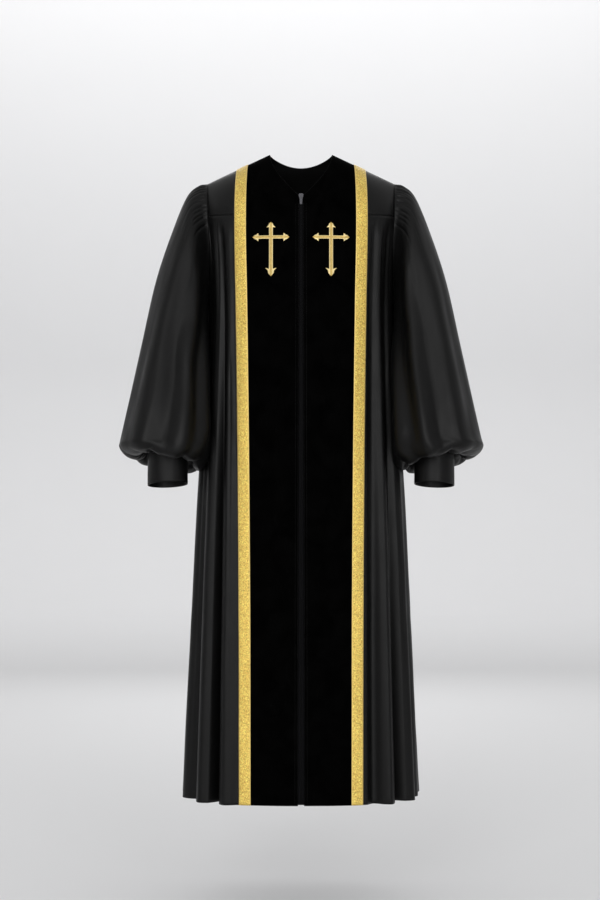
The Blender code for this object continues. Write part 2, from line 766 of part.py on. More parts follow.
def add_cross(side, velvet):
    """The embroidered cross, laid on the velvet's own faces and raised a little."""
    tree = BVHTree.FromPolygons([v.co for v in velvet.data.vertices], [p.vertices for p in velvet.data.polygons])
    flat, faces = cross_outline()
    laid = []
    for x, z in flat:
        start = Vector((SIDES[side] * CROSS_X + x, -1.0, CROSS_Z + z))
        point, normal, _, _ = tree.ray_cast(start, Vector((0, 1, 0)))
        laid.append(point + normal * (SEAM * 1.3 + EMBROIDERY))
    mesh = bpy.data.meshes.new("cross_" + side)
    mesh.from_pydata(laid, [], faces)
    piece = add_object("cross_" + side, mesh, "gold")
    thickness = piece.modifiers.new("wall", "SOLIDIFY")
    thickness.thickness = EMBROIDERY
    thickness.offset = -1


def add_zip_tape():
    """The zip's tape, behind the two velvet edges all the way down."""
    top_z = float(NECKLINE["z"][0]) - 0.001
    z = np.append(
        (HEM_Z + 0.002) + (YOKE_Z - HEM_Z - 0.002) * ROWS_BELOW_YOKE,
        YOKE_Z + (top_z - YOKE_Z) * np.array([0.5, 1.0]),
    )
    columns = []
    for x in TAPE_WIDTH * np.array([-0.5, -0.25, 0.0, 0.25, 0.5]):
        low = torso(np.sign(x) * angle_at(abs(x), z[: len(ROWS_BELOW_YOKE)]), z[: len(ROWS_BELOW_YOKE)])
        place = abs(x) / FRONT_LINES["band_edge"][-1]
        rises = np.array([neck_rise_at(place, level) for level in z[len(ROWS_BELOW_YOKE) :]])
        high = front_shoulder("left", place + 0 * rises, rises)
        high[:, 0] = x
        low[:, 0] = x
        columns.append(np.concatenate([low, high]))
    points = moved_out(np.stack(columns, axis=1), -(VELVET + SEAM * 1.5))
    sheet("zip_tape", points, TAPE, "tape")


def neck_rise_at(place, level):
    """How far up its column the front reaches a given height."""
    return rise_where(
        lambda rises: front_shoulder("left", place + 0 * rises, rises),
        lambda points: points[:, 2] >= level,
    )


def zip_frame():
    """The slider's place on the front: its middle on the velvet's face, down the zip, and outwards."""
    place = FRONT_LINES["opening"][-1] / FRONT_LINES["band_edge"][-1]
    rise = neck_rise_at(place, SLIDER_Z)
    step = 0.02
    above, below = (
        front_shoulder("left", np.array(place), np.array(rise + way)) for way in (step, -step)
    )
    middle = front_shoulder("left", np.array(place), np.array(rise))
    up = Vector((0, above[1] - below[1], above[2] - below[2])).normalized()
    across = Vector((1, 0, 0))
    out = across.cross(up)
    frame = Matrix((across, up, out)).transposed().to_4x4()
    frame.translation = Vector((0, middle[1], middle[2]))
    return frame


def plate(name, outlines, thickness, kind):
    """A flat plate from closed outlines of (x, y) points: the first is its edge and the others are holes."""
    curve = bpy.data.curves.new(name, "CURVE")
    curve.dimensions = "2D"
    curve.fill_mode = "BOTH"
    curve.extrude = thickness / 2
    for outline in outlines:
        spline = curve.splines.new("POLY")
        spline.points.add(len(outline) - 1)
        spline.use_cyclic_u = True
        for point, (x, y) in zip(spline.points, outline):
            point.co = (x, y, 0, 1)
    curve.materials.append(material(kind))
    return bpy.data.objects.new(name, curve)


def rounded(width, top, bottom, corner, low_width=None):
    """A closed outline with rounded corners, narrower at the bottom where low_width is given."""
    outline = []
    for middle_x, middle_y, start in (
        (width / 2 - corner, top - corner, 0),
        (corner - width / 2, top - corner, 90),
        (corner - (low_width or width) / 2, bottom + corner, 180),
        ((low_width or width) / 2 - corner, bottom + corner, 270),
    ):
        for step in (0, 30, 60, 90):
            turn = math.radians(start + step)
            outline.append((middle_x + corner * math.cos(turn), middle_y + corner * math.sin(turn)))
    return outline


def add_slider(frame):
    """The slider: a face plate on the velvet, a neck down to the tape, and the bail that holds the pull."""
    shape = plate("zip_slider", [rounded(SLIDER_WIDTH, SLIDER_HEIGHT / 2, -SLIDER_HEIGHT / 2, 0.003, 0.0076)], SLIDER_PLATE, "nickel")
    bpy.data.collections["clergy_robe"].objects.link(shape)
    bpy.context.view_layer.update()
    mesh = bpy.data.meshes.new_from_object(shape)
    bpy.data.objects.remove(shape)
    mesh.transform(Matrix.Translation((0, 0, SEAM + SLIDER_PLATE / 2)))
    body = add_object("zip_slider", mesh, "nickel")
    body.matrix_world = frame
    middle = SEAM + SLIDER_PLATE / 2
    foot = -(VELVET + SEAM * 0.5)
    crown = SEAM + SLIDER_PLATE + BAIL_CLEAR + BAIL_STOCK
    half = BAIL_HEIGHT / 2
    arch = (
        (-half, middle),
        (-half, crown - BAIL_STOCK),
        (BAIL_STOCK - half, crown),
        (half - BAIL_STOCK, crown),
        (half, crown - BAIL_STOCK),
        (half, middle),
        (half - BAIL_STOCK, middle),
        (half - BAIL_STOCK, crown - BAIL_STOCK),
        (BAIL_STOCK - half, crown - BAIL_STOCK),
        (BAIL_STOCK - half, middle),
    )
    neck = (
        (-SLIDER_NECK_HEIGHT / 2, foot),
        (-SLIDER_NECK_HEIGHT / 2, middle),
        (SLIDER_NECK_HEIGHT / 2, middle),
        (SLIDER_NECK_HEIGHT / 2, foot),
    )
    for name, outline, width in (("slider_bail", arch, BAIL_WIDTH), ("slider_neck", neck, SLIDER_NECK_WIDTH)):
        cutter = prism(name, outline, width)
        cutter.matrix_world = frame
        union = body.modifiers.new("join", "BOOLEAN")
        union.operation = "UNION"
        union.object = cutter


def prism(name, outline, width):
    """A hidden helper solid: an outline of (up, out) points, as wide as given across the zip."""
    count = len(outline)
    points = [(way * width / 2, up, out) for way in (-1, 1) for up, out in outline]
    faces = [tuple(range(count)), tuple(range(2 * count - 1, count - 1, -1))]
    for k in range(count):
        after = (k + 1) % count
        faces.append((k, k + count, after + count, after))
    mesh = bpy.data.meshes.new(name)
    mesh.from_pydata(points, [], faces)
    helper = bpy.data.objects.new(name, mesh)
    bpy.data.collections["cutters"].objects.link(helper)
    helper.hide_render = True
    helper.display_type = "WIRE"
    shape = bmesh.new()
    shape.from_mesh(mesh)
    bmesh.ops.recalc_face_normals(shape, faces=shape.faces)
    shape.to_mesh(mesh)
    shape.free()
    return helper


def add_pull(frame):
    """The pull: a plate with an eye round the bail, turning on the eye's top bar."""
    eye_foot = -(BAIL_HEIGHT / 2 + PULL_PLAY)
    bar = PULL_STOCK / 2
    outlines = [
        rounded(PULL_WIDTH, bar, bar - PULL_LENGTH, 0.0010, PULL_FOOT_WIDTH),
        rounded(PULL_EYE_WIDTH, -bar, eye_foot, 0.0004),
    ]
    pull = plate("zip_pull", outlines, PULL_STOCK, "nickel")
    bpy.data.collections["clergy_robe"].objects.link(pull)
    pull.matrix_world = frame @ Matrix.Translation((0, 0, SEAM + SLIDER_PLATE + BAIL_CLEAR / 2))


def build():
    """Clears the scene and builds the robe, piece by piece."""
    for old in list(bpy.data.objects):
        bpy.data.objects.remove(old)
    for name in ("clergy_robe", "cutters"):
        bpy.context.scene.collection.children.link(bpy.data.collections.new(name))
    sheet("back_panel", back_panel_points(), CLOTH, "cloth")
    sheet("back_yoke", back_yoke_points(), CLOTH, "cloth")
    for side in SIDES:
        velvet = velvet_points(side)
        front_velvet = sheet("velvet_" + side, worn(side, velvet), VELVET, "velvet")
        sheet("front_" + side, worn(side, front_panel_points(side)), CLOTH, "cloth")
        sheet("yoke_" + side, worn(side, front_yoke_points(side)), CLOTH, "cloth")
        band = moved_out(worn(side, velvet[:, -3:]), SEAM + BROCADE)
        sheet("band_" + side, band, BROCADE, "gold")
        add_cross(side, front_velvet)
        sheet("sleeve_" + side, sleeve_points(side), CLOTH, "cloth", closed=True)
        sheet("cuff_" + side, cuff_points(side), CUFF_CLOTH, "cloth", closed=True)
    add_zip_tape()
    frame = zip_frame()
    add_slider(frame)
    add_pull(frame)
    bpy.context.view_layer.update()


build()
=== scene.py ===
"""Clergy robe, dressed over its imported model: velvet fronts with gold bands and crosses, yokes, a
fluted back, bishop sleeves gathered into cuffs, a zip and its stitching.

Metres, +Z up, the front faces -Y. Left and right are as worn, so the right side lies at -X.
"""

from functools import partial

import bmesh
import bpy
import numpy as np
from bpy.props import FloatProperty, FloatVectorProperty, PointerProperty
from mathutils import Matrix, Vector


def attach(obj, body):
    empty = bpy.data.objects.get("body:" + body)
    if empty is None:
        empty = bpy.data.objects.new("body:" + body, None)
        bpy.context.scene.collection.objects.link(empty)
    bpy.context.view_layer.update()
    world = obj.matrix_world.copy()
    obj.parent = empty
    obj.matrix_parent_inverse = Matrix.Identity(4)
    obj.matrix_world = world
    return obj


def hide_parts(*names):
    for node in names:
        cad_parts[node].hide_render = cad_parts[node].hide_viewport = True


bl_info = {
    "name": "Clergy robe",
    "version": (1, 0, 0),
    "blender": (4, 5, 0),
    "location": "3D View > Sidebar > Robe",
    "description": "Makes a clergy robe with velvet fronts, gold trim, bishop sleeves and a zip",
    "category": "Object",
}

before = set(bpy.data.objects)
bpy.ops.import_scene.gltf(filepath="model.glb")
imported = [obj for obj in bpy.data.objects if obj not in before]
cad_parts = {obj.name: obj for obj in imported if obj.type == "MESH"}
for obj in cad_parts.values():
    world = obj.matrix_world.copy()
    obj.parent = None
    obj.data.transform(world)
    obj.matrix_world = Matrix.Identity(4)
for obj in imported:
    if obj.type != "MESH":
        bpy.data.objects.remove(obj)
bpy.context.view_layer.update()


# Overall cut, in metres from the mount between the neck ends of the shoulder seams. Squareness is
# the power of the body's rounded section: 2 is an ellipse.
HEM_Z = -1.350
YOKE_Z = -0.137
BACK_YOKE_Z = -0.165
UNDERARM_Z = -0.320
NECK_X = 0.0655
TIP_X = 0.1965
TIP_Z = -0.0614
BACK_NECK_DEPTH = 0.056
SQUARENESS = 2.5
ARMHOLE_X = 0.1945
SIDES = {"right": -1, "left": 1}

# The solids' walls and the gaps at their seams, from which the pieces' places are worked out
CLOTH = 0.0012
VELVET = 0.0016
BROCADE = 0.0010
TAPE = 0.0010
BROCADE_SHARE = 0.8
TAPE_SHARE = 0.7
SEAM = 0.0003
BAND_WIDTH = 0.0240
TAPE_WIDTH = 0.0280

# The hollow form of the body, a row for each level
TORSO = np.array(
    [
        (-1.350, 0.2470, 0.1650, 0.1720),
        (-1.050, 0.2340, 0.1570, 0.1620),
        (-0.730, 0.2190, 0.1500, 0.1500),
        (-0.500, 0.2050, 0.1440, 0.1390),
        (-0.320, 0.1970, 0.1380, 0.1290),
        (-0.220, 0.2010, 0.1310, 0.1200),
        (-0.137, 0.2090, 0.1200, 0.1080),
        (-0.060, 0.2150, 0.1000, 0.0900),
    ],
    dtype=[("z", float), ("half_width", float), ("front", float), ("back", float)],
)

# The front edges that run from neck to hem: the zip's opening and the bands' outer edges
FRONT_LINES = np.array(
    [
        (-1.350, 0.0062, 0.1268),
        (-0.900, 0.0055, 0.1280),
        (-0.580, 0.0048, 0.1308),
        (-0.320, 0.0044, 0.1345),
        (-0.137, 0.0042, 0.1375),
        (0.000, 0.0042, 0.1350),
    ],
    dtype=[("z", float), ("opening", float), ("band_edge", float)],
)

# The V of the front neckline, from the zip to the neck end of the shoulder seam. Foot is how far
# out the velvet's line through each point lies at the yoke's level.
NECKLINE = np.array(
    [
        (0.0042, -0.0980, 0.0042),
        (0.0200, -0.0816, 0.0180),
        (0.0325, -0.0676, 0.0310),
        (0.0500, -0.0440, 0.0450),
        (0.0600, -0.0240, 0.0580),
        (0.0640, -0.0110, 0.0700),
        (0.0655, 0.0000, 0.0820),
    ],
    dtype=[("x", float), ("z", float), ("foot", float)],
)

# Folds of the fronts. Place runs from 1 at the band to 2 at the side seam; yoke and depth are how
# far out a fold stands just below the yoke and at the hem.
FOLD = [("place", float), ("reach", float), ("yoke", float), ("depth", float)]
FRONT_FOLDS = {
    "right": np.array(
        [
            (1.115, 0.115, 0.0030, 0.0130),
            (1.250, 0.070, -0.0035, -0.0300),
            (1.400, 0.130, 0.0030, 0.0120),
            (1.600, 0.110, -0.0020, -0.0140),
            (1.800, 0.140, 0.0000, 0.0060),
        ],
        dtype=FOLD,
    ),
    "left": np.array(
        [
            (1.110, 0.080, -0.0030, -0.0110),
            (1.250, 0.110, 0.0035, 0.0150),
            (1.420, 0.090, -0.0030, -0.0220),
            (1.600, 0.130, 0.0020, 0.0100),
            (1.780, 0.100, 0.0000, -0.0080),
        ],
        dtype=FOLD,
    ),
}

# Flutes of the back, a row for each, from the left side seam at -1 to the right one at 1
BACK_FLUTES = np.array(
    [
        (-0.900, 0.100, 0.0000, 0.0090),
        (-0.690, 0.062, 0.0060, 0.0160),
        (-0.552, 0.060, 0.0065, 0.0120),
        (-0.414, 0.062, 0.0065, 0.0190),
        (-0.276, 0.060, 0.0065, 0.0130),
        (-0.138, 0.062, 0.0065, 0.0180),
        (0.000, 0.060, 0.0065, 0.0150),
        (0.138, 0.062, 0.0065, 0.0190),
        (0.276, 0.060, 0.0065, 0.0120),
        (0.414, 0.062, 0.0065, 0.0180),
        (0.552, 0.060, 0.0065, 0.0140),
        (0.690, 0.062, 0.0060, 0.0170),
        (0.900, 0.100, 0.0000, 0.0080),
    ],
    dtype=FOLD,
)

# The sleeve's outline as seen from the front, its middle and depth from the side, and how much
# higher its front lies than its back. Rows run from the armhole to the cuff.
SLEEVE = np.array(
    [
        (0.1965, -0.0614, 0.1970, -0.3200, 0.0000, 0.0840, 0.0000),
        (0.2165, -0.0660, 0.1990, -0.3290, -0.0020, 0.0850, 0.0000),
        (0.2415, -0.0915, 0.1960, -0.3480, -0.0070, 0.0880, 0.0000),
        (0.2720, -0.1670, 0.1920, -0.3850, -0.0160, 0.0920, 0.0000),
        (0.3045, -0.2700, 0.1890, -0.4400, -0.0320, 0.0950, 0.0000),
        (0.3320, -0.4000, 0.1870, -0.5100, -0.0540, 0.1000, 0.0000),
        (0.3560, -0.5150, 0.1860, -0.5720, -0.0720, 0.1060, 0.0060),
        (0.3740, -0.5980, 0.1860, -0.6160, -0.0790, 0.1100, 0.0140),
        (0.3785, -0.6180, 0.1920, -0.6500, -0.0800, 0.1080, 0.0180),
        (0.3670, -0.6330, 0.2090, -0.6650, -0.0800, 0.0960, 0.0180),
        (0.3450, -0.6400, 0.2225, -0.6600, -0.0800, 0.0740, 0.0140),
        (0.3280, -0.6290, 0.2290, -0.6380, -0.0800, 0.0510, 0.0060),
        (0.3178, -0.6085, 0.2362, -0.6085, -0.0800, 0.0397, 0.0000),
    ],
    dtype=[
        ("outer_x", float),
        ("outer_z", float),
        ("inner_x", float),
        ("inner_z", float),
        ("mid_y", float),
        ("half_depth", float),
        ("front_lift", float),
    ],
)
SLEEVE_END = len(SLEEVE) - 1

# Long folds of the sleeves. Angle runs from the outer edge round by the front; start and end are
# rows of the SLEEVE table, and depth is outwards at the belly.
SLEEVE_FOLD = [
    ("angle", float),
    ("reach", float),
    ("start", float),
    ("end", float),
    ("depth", float),
]
SLEEVE_FOLDS = {
    "right": np.array(
        [
            (30.0, 18.0, 2.5, 8.0, -0.0030),
            (58.0, 20.0, 1.0, 9.5, 0.0040),
            (88.0, 24.0, 2.2, 9.0, -0.0110),
            (112.0, 20.0, 1.0, 9.8, 0.0100),
            (144.0, 20.0, 0.8, 8.4, 0.0120),
            (212.0, 18.0, 2.0, 8.2, -0.0110),
            (246.0, 18.0, 1.2, 9.5, 0.0080),
            (274.0, 17.0, 1.2, 8.8, -0.0170),
            (303.0, 18.0, 1.2, 9.5, 0.0080),
            (332.0, 13.0, 1.5, 8.5, -0.0110),
        ],
        dtype=SLEEVE_FOLD,
    ),
    "left": np.array(
        [
            (35.0, 18.0, 2.5, 7.5, -0.0030),
            (56.0, 20.0, 1.0, 9.5, 0.0040),
            (85.0, 24.0, 2.2, 9.0, -0.0110),
            (106.0, 18.0, 1.0, 10.0, 0.0110),
            (130.0, 14.0, 6.0, 9.5, -0.0100),
            (146.0, 20.0, 0.8, 8.5, 0.0120),
            (216.0, 18.0, 2.0, 9.0, -0.0140),
            (250.0, 16.0, 1.2, 9.5, 0.0090),
            (282.0, 16.0, 0.8, 8.8, -0.0190),
            (310.0, 16.0, 1.2, 9.5, 0.0070),
            (337.0, 12.0, 1.5, 8.5, -0.0090),
        ],
        dtype=SLEEVE_FOLD,
    ),
}
SLEEVE_CLEARANCE = 0.0035
EASE_OUT = 0.0020

# Cuffs
CUFF_TOP_Z = -0.6090
CUFF_BOTTOM_Z = -0.6960
CUFF_X = 0.2770
CUFF_Y = -0.0800
CUFF_HALF_WIDTH = 0.0402
CUFF_HALF_DEPTH = 0.0390
CUFF_FLARE = 0.0015
CUFF_SLANT = 0.0020
CUFF_TILT = 0.0070

# Folds that only the dressed robe shows. Lean moves a fold's place down the cloth, per metre.
PLEAT = [
    ("place", float),
    ("reach", float),
    ("start", float),
    ("end", float),
    ("lean", float),
    ("depth", float),
]
FRONT_PLEATS = {
    "right": np.array(
        [
            (1.330, 0.070, -0.137, -0.420, 0.02, 0.0034),
            (1.205, 0.060, -0.137, -0.560, 0.03, 0.0024),
            (1.520, 0.080, -0.150, -0.900, -0.02, 0.0032),
            (1.680, 0.080, -0.260, -1.500, 0.02, 0.0036),
            (1.090, 0.055, -0.400, -1.500, 0.00, 0.0022),
        ],
        dtype=PLEAT,
    ),
    "left": np.array(
        [
            (1.290, 0.070, -0.137, -0.470, -0.02, 0.0032),
            (1.510, 0.060, -0.137, -0.380, 0.02, 0.0028),
            (1.330, 0.070, -0.320, -1.500, 0.03, 0.0036),
            (1.690, 0.080, -0.240, -1.500, -0.02, 0.0040),
            (1.060, 0.050, -0.200, -1.500, 0.00, 0.0022),
        ],
        dtype=PLEAT,
    ),
}
PLEAT_GROWTH = 0.10
PLEAT_FADE = 0.35

# Gathers that a seeded draw places round the sleeve: at the cap, as lobes over the cuff, and as
# fine folds at the cuff's seam. Widths are half widths in degrees, and lengths and starts are rows
# of the SLEEVE table.
CAP_FOLDS = 24
CAP_FOLD_HALF = 70.0
CAP_FOLD_DEPTH = 0.0032
CAP_FOLD_LENGTHS = (0.9, 2.6)
CAP_FOLD_WIDTHS = (2.4, 3.6)
CAP_FAN = 0.05
CUFF_LOBES = 9
LOBE_DEPTH = 0.0120
LOBE_STARTS = (6.6, 8.6)
LOBE_WIDTHS = (17.0, 25.0)
LOBE_WANDER = 4.0
CUFF_FOLDS = 34
CUFF_FOLD_DEPTH = 0.0024
CUFF_FOLD_STARTS = (9.2, 10.4)
CUFF_FOLD_WIDTHS = (4.0, 6.5)

# How steeply a pinched fold's sides fall into its bed
PINCH_POWER = 1.7

# The small unevenness of hanging cloth: how far its ripples drift sideways, their lengths across
# the cloth and down it, and how far they stand out on each piece
DRIFT = 0.012
DRIFT_LENGTH = 0.90
LONG_ACROSS, LONG_DOWN = 0.150, 0.55
SHORT_ACROSS, SHORT_DOWN = 0.062, 0.31
DRAPE_START = 0.16
FRONT_UNEVEN, CLOTH_UNEVEN = 0.0008, 0.0005
BACK_UNEVEN = 0.0024
BACK_DRIFT = 0.010
SLEEVE_UNEVEN = 0.0004
SLEEVE_RADIUS = 0.10
SLEEVE_RIPPLES = (7, 15)
UNDERARM_FULLNESS = 0.010
CUFF_SWELL = 0.0006
CUFF_RIPPLE = 0.0005

# Where each piece's random draws start
SEEDS = {
    "front": {"right": 11, "left": 37},
    "sleeve": {"right": 5, "left": 23},
    "cuff": {"right": 92, "left": 91},
    "back": 71,
    "back drift": 83,
}

# How the shoulder's curve leaves each yoke seam and meets the shoulder seam
SHOULDER_UP = 0.60
SHOULDER_BACK = 0.50
SHOULDER_DIP = 0.002
FRONT_LEAN = 0.08
BACK_LEAN = -0.05
NECK_GUIDE_RISE = 0.004
RISE_STEPS = 400

# How many columns and rows of points each piece's grid has
ARMHOLE_STEPS = 34
FRONT_COLUMNS, FRONT_ROWS = 78, 230
YOKE_COLUMNS, YOKE_ROWS = 26, 40
BACK_COLUMNS, BACK_ROWS = 301, 132
NECK_COLUMNS, BACK_YOKE_COLUMNS, BACK_YOKE_ROWS = 40, 30, 60
VELVET_COLUMNS, VELVET_EDGE_COLUMNS, BAND_COLUMNS = 49, 13, 13
VELVET_ROWS, NECK_ROWS = 260, 49
SLEEVE_COLUMNS = 360
SLEEVE_ROWS = ((0.0, 2.4, 30), (2.4, 8.0, 46), (8.0, SLEEVE_END, 62))
CUFF_COLUMNS, CUFF_ROWS = 144, 40
CROSS_COLUMNS, CROSS_ROWS = 15, 181
TAPE_COLUMNS, TAPE_ROWS = 15, 320

# The cross's outline, for the post and for one arm of the bar: how far along it each place lies,
# its half width there, and how far its outermost stitches lie ahead of its middle ones
CROSS_X = 0.0618
CROSS_Z = -0.1860
CROSS_OUTLINE = [("along", float), ("half_width", float), ("curl", float)]
CROSS_POST = np.array(
    [
        (-0.0810, 0.0000, 0.0),
        (-0.0785, 0.0026, 0.0),
        (-0.0755, 0.0050, 0.0),
        (-0.0730, 0.0062, 0.0004),
        (-0.0712, 0.0060, 0.0010),
        (-0.0700, 0.0086, 0.0030),
        (-0.0690, 0.0112, 0.0042),
        (-0.0680, 0.0104, 0.0040),
        (-0.0668, 0.0044, 0.0010),
        (-0.0650, 0.0040, 0.0),
        (0.0000, 0.0040, 0.0),
        (0.0200, 0.0040, 0.0),
        (0.0212, 0.0048, -0.0008),
        (0.0222, 0.0092, -0.0022),
        (0.0236, 0.0074, -0.0014),
        (0.0250, 0.0048, 0.0),
        (0.0268, 0.0047, 0.0),
        (0.0290, 0.0030, 0.0),
        (0.0312, 0.0000, 0.0),
    ],
    dtype=CROSS_OUTLINE,
)
BAR_ARM = np.array(
    [
        (0.0000, 0.0034, 0.0),
        (0.0250, 0.0034, 0.0),
        (0.0263, 0.0050, -0.0008),
        (0.0278, 0.0085, -0.0018),
        (0.0292, 0.0074, -0.0012),
        (0.0306, 0.0050, -0.0004),
        (0.0322, 0.0049, 0.0),
        (0.0345, 0.0032, 0.0),
        (0.0380, 0.0000, 0.0),
    ],
    dtype=CROSS_OUTLINE,
)
OTHER_ARM = BAR_ARM[:0:-1].copy()
OTHER_ARM["along"] *= -1
OTHER_ARM["curl"] *= -1
CROSS_BAR = np.concatenate([OTHER_ARM, BAR_ARM])
CROSS_WALL = 0.0008
CROSS_RISE = 0.0008
THINNEST_ARM = 0.00005

# Zip, bands and sewing
TEETH_TOP_Z = -0.1085
TOOTH_RADIUS = 0.00052
TOOTH_WIDTH = 0.0030
TOOTH_STAGGER = 0.0011
TOOTH_FLATNESS = 0.85
BAND_FULLNESS = 0.00035
ABOVE_HEM = 0.004
ZIP_SEAM_TOP_Z = -0.112
ZIP_SEAM_GAPS = (0.0015, 0.0065)
THREAD_LIFT = 0.0001
# The pale gold at the crosses' edges, a painted highlight
EDGE_HIGHLIGHT_COLOUR = "#e6d49c"
STITCH_SHARE = 0.42

# The floor: how far its flat part reaches, the radius of its rim's turn and how far the rim rises
FLAT_REACH = 7.5
RIM_TURN = 1.5
RIM_TOP = 4.5

# The camera, at the photograph's viewing angle
CAMERA_PLACE = (-0.0021, -4.5, -0.624)
LENS = 85.07
SENSOR_HEIGHT = 36.0

# Lights: name, place, aim, width and height, power
LIGHTS = (
    ("key", (-1.1, -4.4, 0.4), (0.0, 0.0, -0.5), (1.6, 1.8), 60.0),
    ("fill", (1.4, -4.3, -0.1), (0.0, 0.0, -0.6), (1.4, 2.2), 44.0),
    ("left rim", (-2.6, 0.6, 0.0), (-0.2, 0.0, -0.5), (0.8, 2.4), 2.0),
    ("right rim", (2.6, 0.6, 0.0), (0.2, 0.0, -0.5), (0.8, 2.4), 2.0),
    ("back", (0.0, 3.8, 0.8), (0.0, 0.0, -0.6), (2.2, 2.2), 30.0),
    ("backdrop", (0.0, 6.0, 4.2), (0.0, 9.0, 2.6), (6.0, 0.8), 145.0),
)
WORLD_STRENGTH = 0.70

# A wave texture's own repeat at a scale of 1, along one axis and square to its diagonal bands
WAVE = 0.314
DIAGONAL_WAVE = 0.628 * 0.707

# A Mix node's sockets when it blends colours: the share of the second, the two colours, the result
SHARE, FIRST, SECOND, BLEND = 0, 6, 7, 2


def srgb(colour):
    """The linear red, green and blue of an sRGB hex colour such as "#d9b54a"."""
    share = np.array([int(colour[k : k + 2], 16) for k in (1, 3, 5)]) / 255
    return tuple(np.where(share <= 0.04045, share / 12.92, ((share + 0.055) / 1.055) ** 2.4))


def tone(colour, share=1.0, lift=0.0):
    """A colour times a share plus a lift, held below 1, as a socket's red, green, blue and
    alpha."""
    return (*(min(1.0, c * share + lift) for c in colour), 1.0)


def follow(table, key, column, at):
    """One column of a table read along its key column, as a cubic curve through its rows whose
    slope at each row is the mean of its neighbours'."""
    places = table[key]
    values = table[column]
    slopes = np.gradient(values, places)
    at = np.clip(at, places[0], places[-1])
    k = np.clip(np.searchsorted(places, at) - 1, 0, len(places) - 2)
    span = places[k + 1] - places[k]
    t = (at - places[k]) / span
    return (
        (2 * t**3 - 3 * t**2 + 1) * values[k]
        + (t**3 - 2 * t**2 + t) * span * slopes[k]
        + (3 * t**2 - 2 * t**3) * values[k + 1]
        + (t**3 - t**2) * span * slopes[k + 1]
    )


def ease(t):
    """0 before 0, 1 after 1, and a smooth S between: three squares less two cubes."""
    t = np.clip(t, 0, 1)
    return t * t * (3 - 2 * t)


def bump(distance, reach):
    """One turn of a cosine, raised to a hump of height 1 that ends at reach on both sides."""
    return np.where(np.abs(distance) < reach, 0.5 + 0.5 * np.cos(np.pi * distance / reach), 0.0)


def pinch(distance, reach):
    """A narrow valley with broad shoulders: 1 in its bed, and a power of a straight slope beside
    it."""
    return np.clip(1 - np.abs(distance) / reach, 0, 1) ** PINCH_POWER


def wander(at, length, seed):
    """A smooth uneven line between about -1 and 1: four sines with unrelated lengths and
    starts."""
    chance = np.random.default_rng(seed)
    lengths = length * np.array([1.0, 0.618, 0.414, 0.271])
    starts = chance.uniform(0, 2 * np.pi, 4)
    sizes = np.array([1.0, 0.62, 0.36, 0.22]) / 1.5
    turns = 2 * np.pi * np.asarray(at)[..., None] / lengths + starts
    return (np.sin(turns) * sizes).sum(axis=-1)


def drape(seed, across, z, size):
    """The small unevenness of hanging cloth: wandering ripples across it whose places drift slowly
    down its length, growing from nothing at the yoke."""
    shifted = across + DRIFT * wander(z, DRIFT_LENGTH, seed) * (1 + 0 * across)
    long = wander(shifted, LONG_ACROSS, seed + 1) * (0.75 + 0.25 * wander(z, LONG_DOWN, seed + 2))
    short = wander(shifted, SHORT_ACROSS, seed + 3) * wander(z, SHORT_DOWN, seed + 4)
    return size * (0.7 * long + 0.3 * short) * ease((YOKE_Z - z) / DRAPE_START)


def torso(angle, z, out=0.0):
    """A point of the hollow form at an angle from the front centre, moved out along its normal.
    Each level is a superellipse, whose sides are powers of the angle's sine and cosine."""
    half_width = follow(TORSO, "z", "half_width", z)
    sine, cosine = np.sin(np.radians(angle)), np.cos(np.radians(angle))
    depth = np.where(cosine > 0, follow(TORSO, "z", "front", z), follow(TORSO, "z", "back", z))
    x_share = np.sign(sine) * np.abs(sine) ** (2 / SQUARENESS)
    y_share = -np.sign(cosine) * np.abs(cosine) ** (2 / SQUARENESS)
    x_way = np.sign(x_share) * np.abs(x_share) ** (SQUARENESS - 1) / half_width
    y_way = np.sign(y_share) * np.abs(y_share) ** (SQUARENESS - 1) / depth
    length = np.hypot(x_way, y_way)
    return np.stack(
        [
            half_width * x_share + out * x_way / length,
            depth * y_share + out * y_way / length,
            z + 0 * x_share,
        ],
        axis=-1,
    )


def angle_at(x, z):
    """The angle from the front centre at which the form is this far out from its middle."""
    share = np.clip(x / follow(TORSO, "z", "half_width", z), 0, 1)
    return np.degrees(np.arcsin(share ** (SQUARENESS / 2)))


def front_angle(place, z):
    """Place runs from 0 at the zip's line to 1 at the band's outer edge and 2 at the side seam."""
    edge = follow(FRONT_LINES, "z", "band_edge", z)
    edge_angle = angle_at(edge, z)
    return np.where(
        place <= 1,
        angle_at(np.minimum(place, 1) * edge, z),
        edge_angle + (90 - edge_angle) * (place - 1),
    )


YOKE_PLACE = 1 + float(
    (angle_at(ARMHOLE_X, YOKE_Z) - front_angle(1.0, YOKE_Z)) / (90 - front_angle(1.0, YOKE_Z))
)
BACK_YOKE_PLACE = float(angle_at(ARMHOLE_X, BACK_YOKE_Z)) / 90


def armhole_z(place, yoke_place, yoke_z, end_place):
    """The height of a panel's top edge: its yoke seam, then the armhole, a quarter of an ellipse,
    down to the underarm."""
    share = np.clip((end_place - place) / (end_place - yoke_place), 0, 1)
    return UNDERARM_Z + (yoke_z - UNDERARM_Z) * (1 - np.sqrt(1 - share**2))


def folds(table, place, z, top_z):
    """How far the folds push the cloth out, growing from the panel's top edge to the hem."""
    below = top_z - z
    near, far = ease(below / 0.05), ease(below / (YOKE_Z - HEM_Z))
    total = np.zeros(np.broadcast(place, z).shape)
    for row in table:
        size = row["yoke"] * near * (1 - far) + row["depth"] * far
        total += size * bump(place - row["place"], row["reach"])
    return total


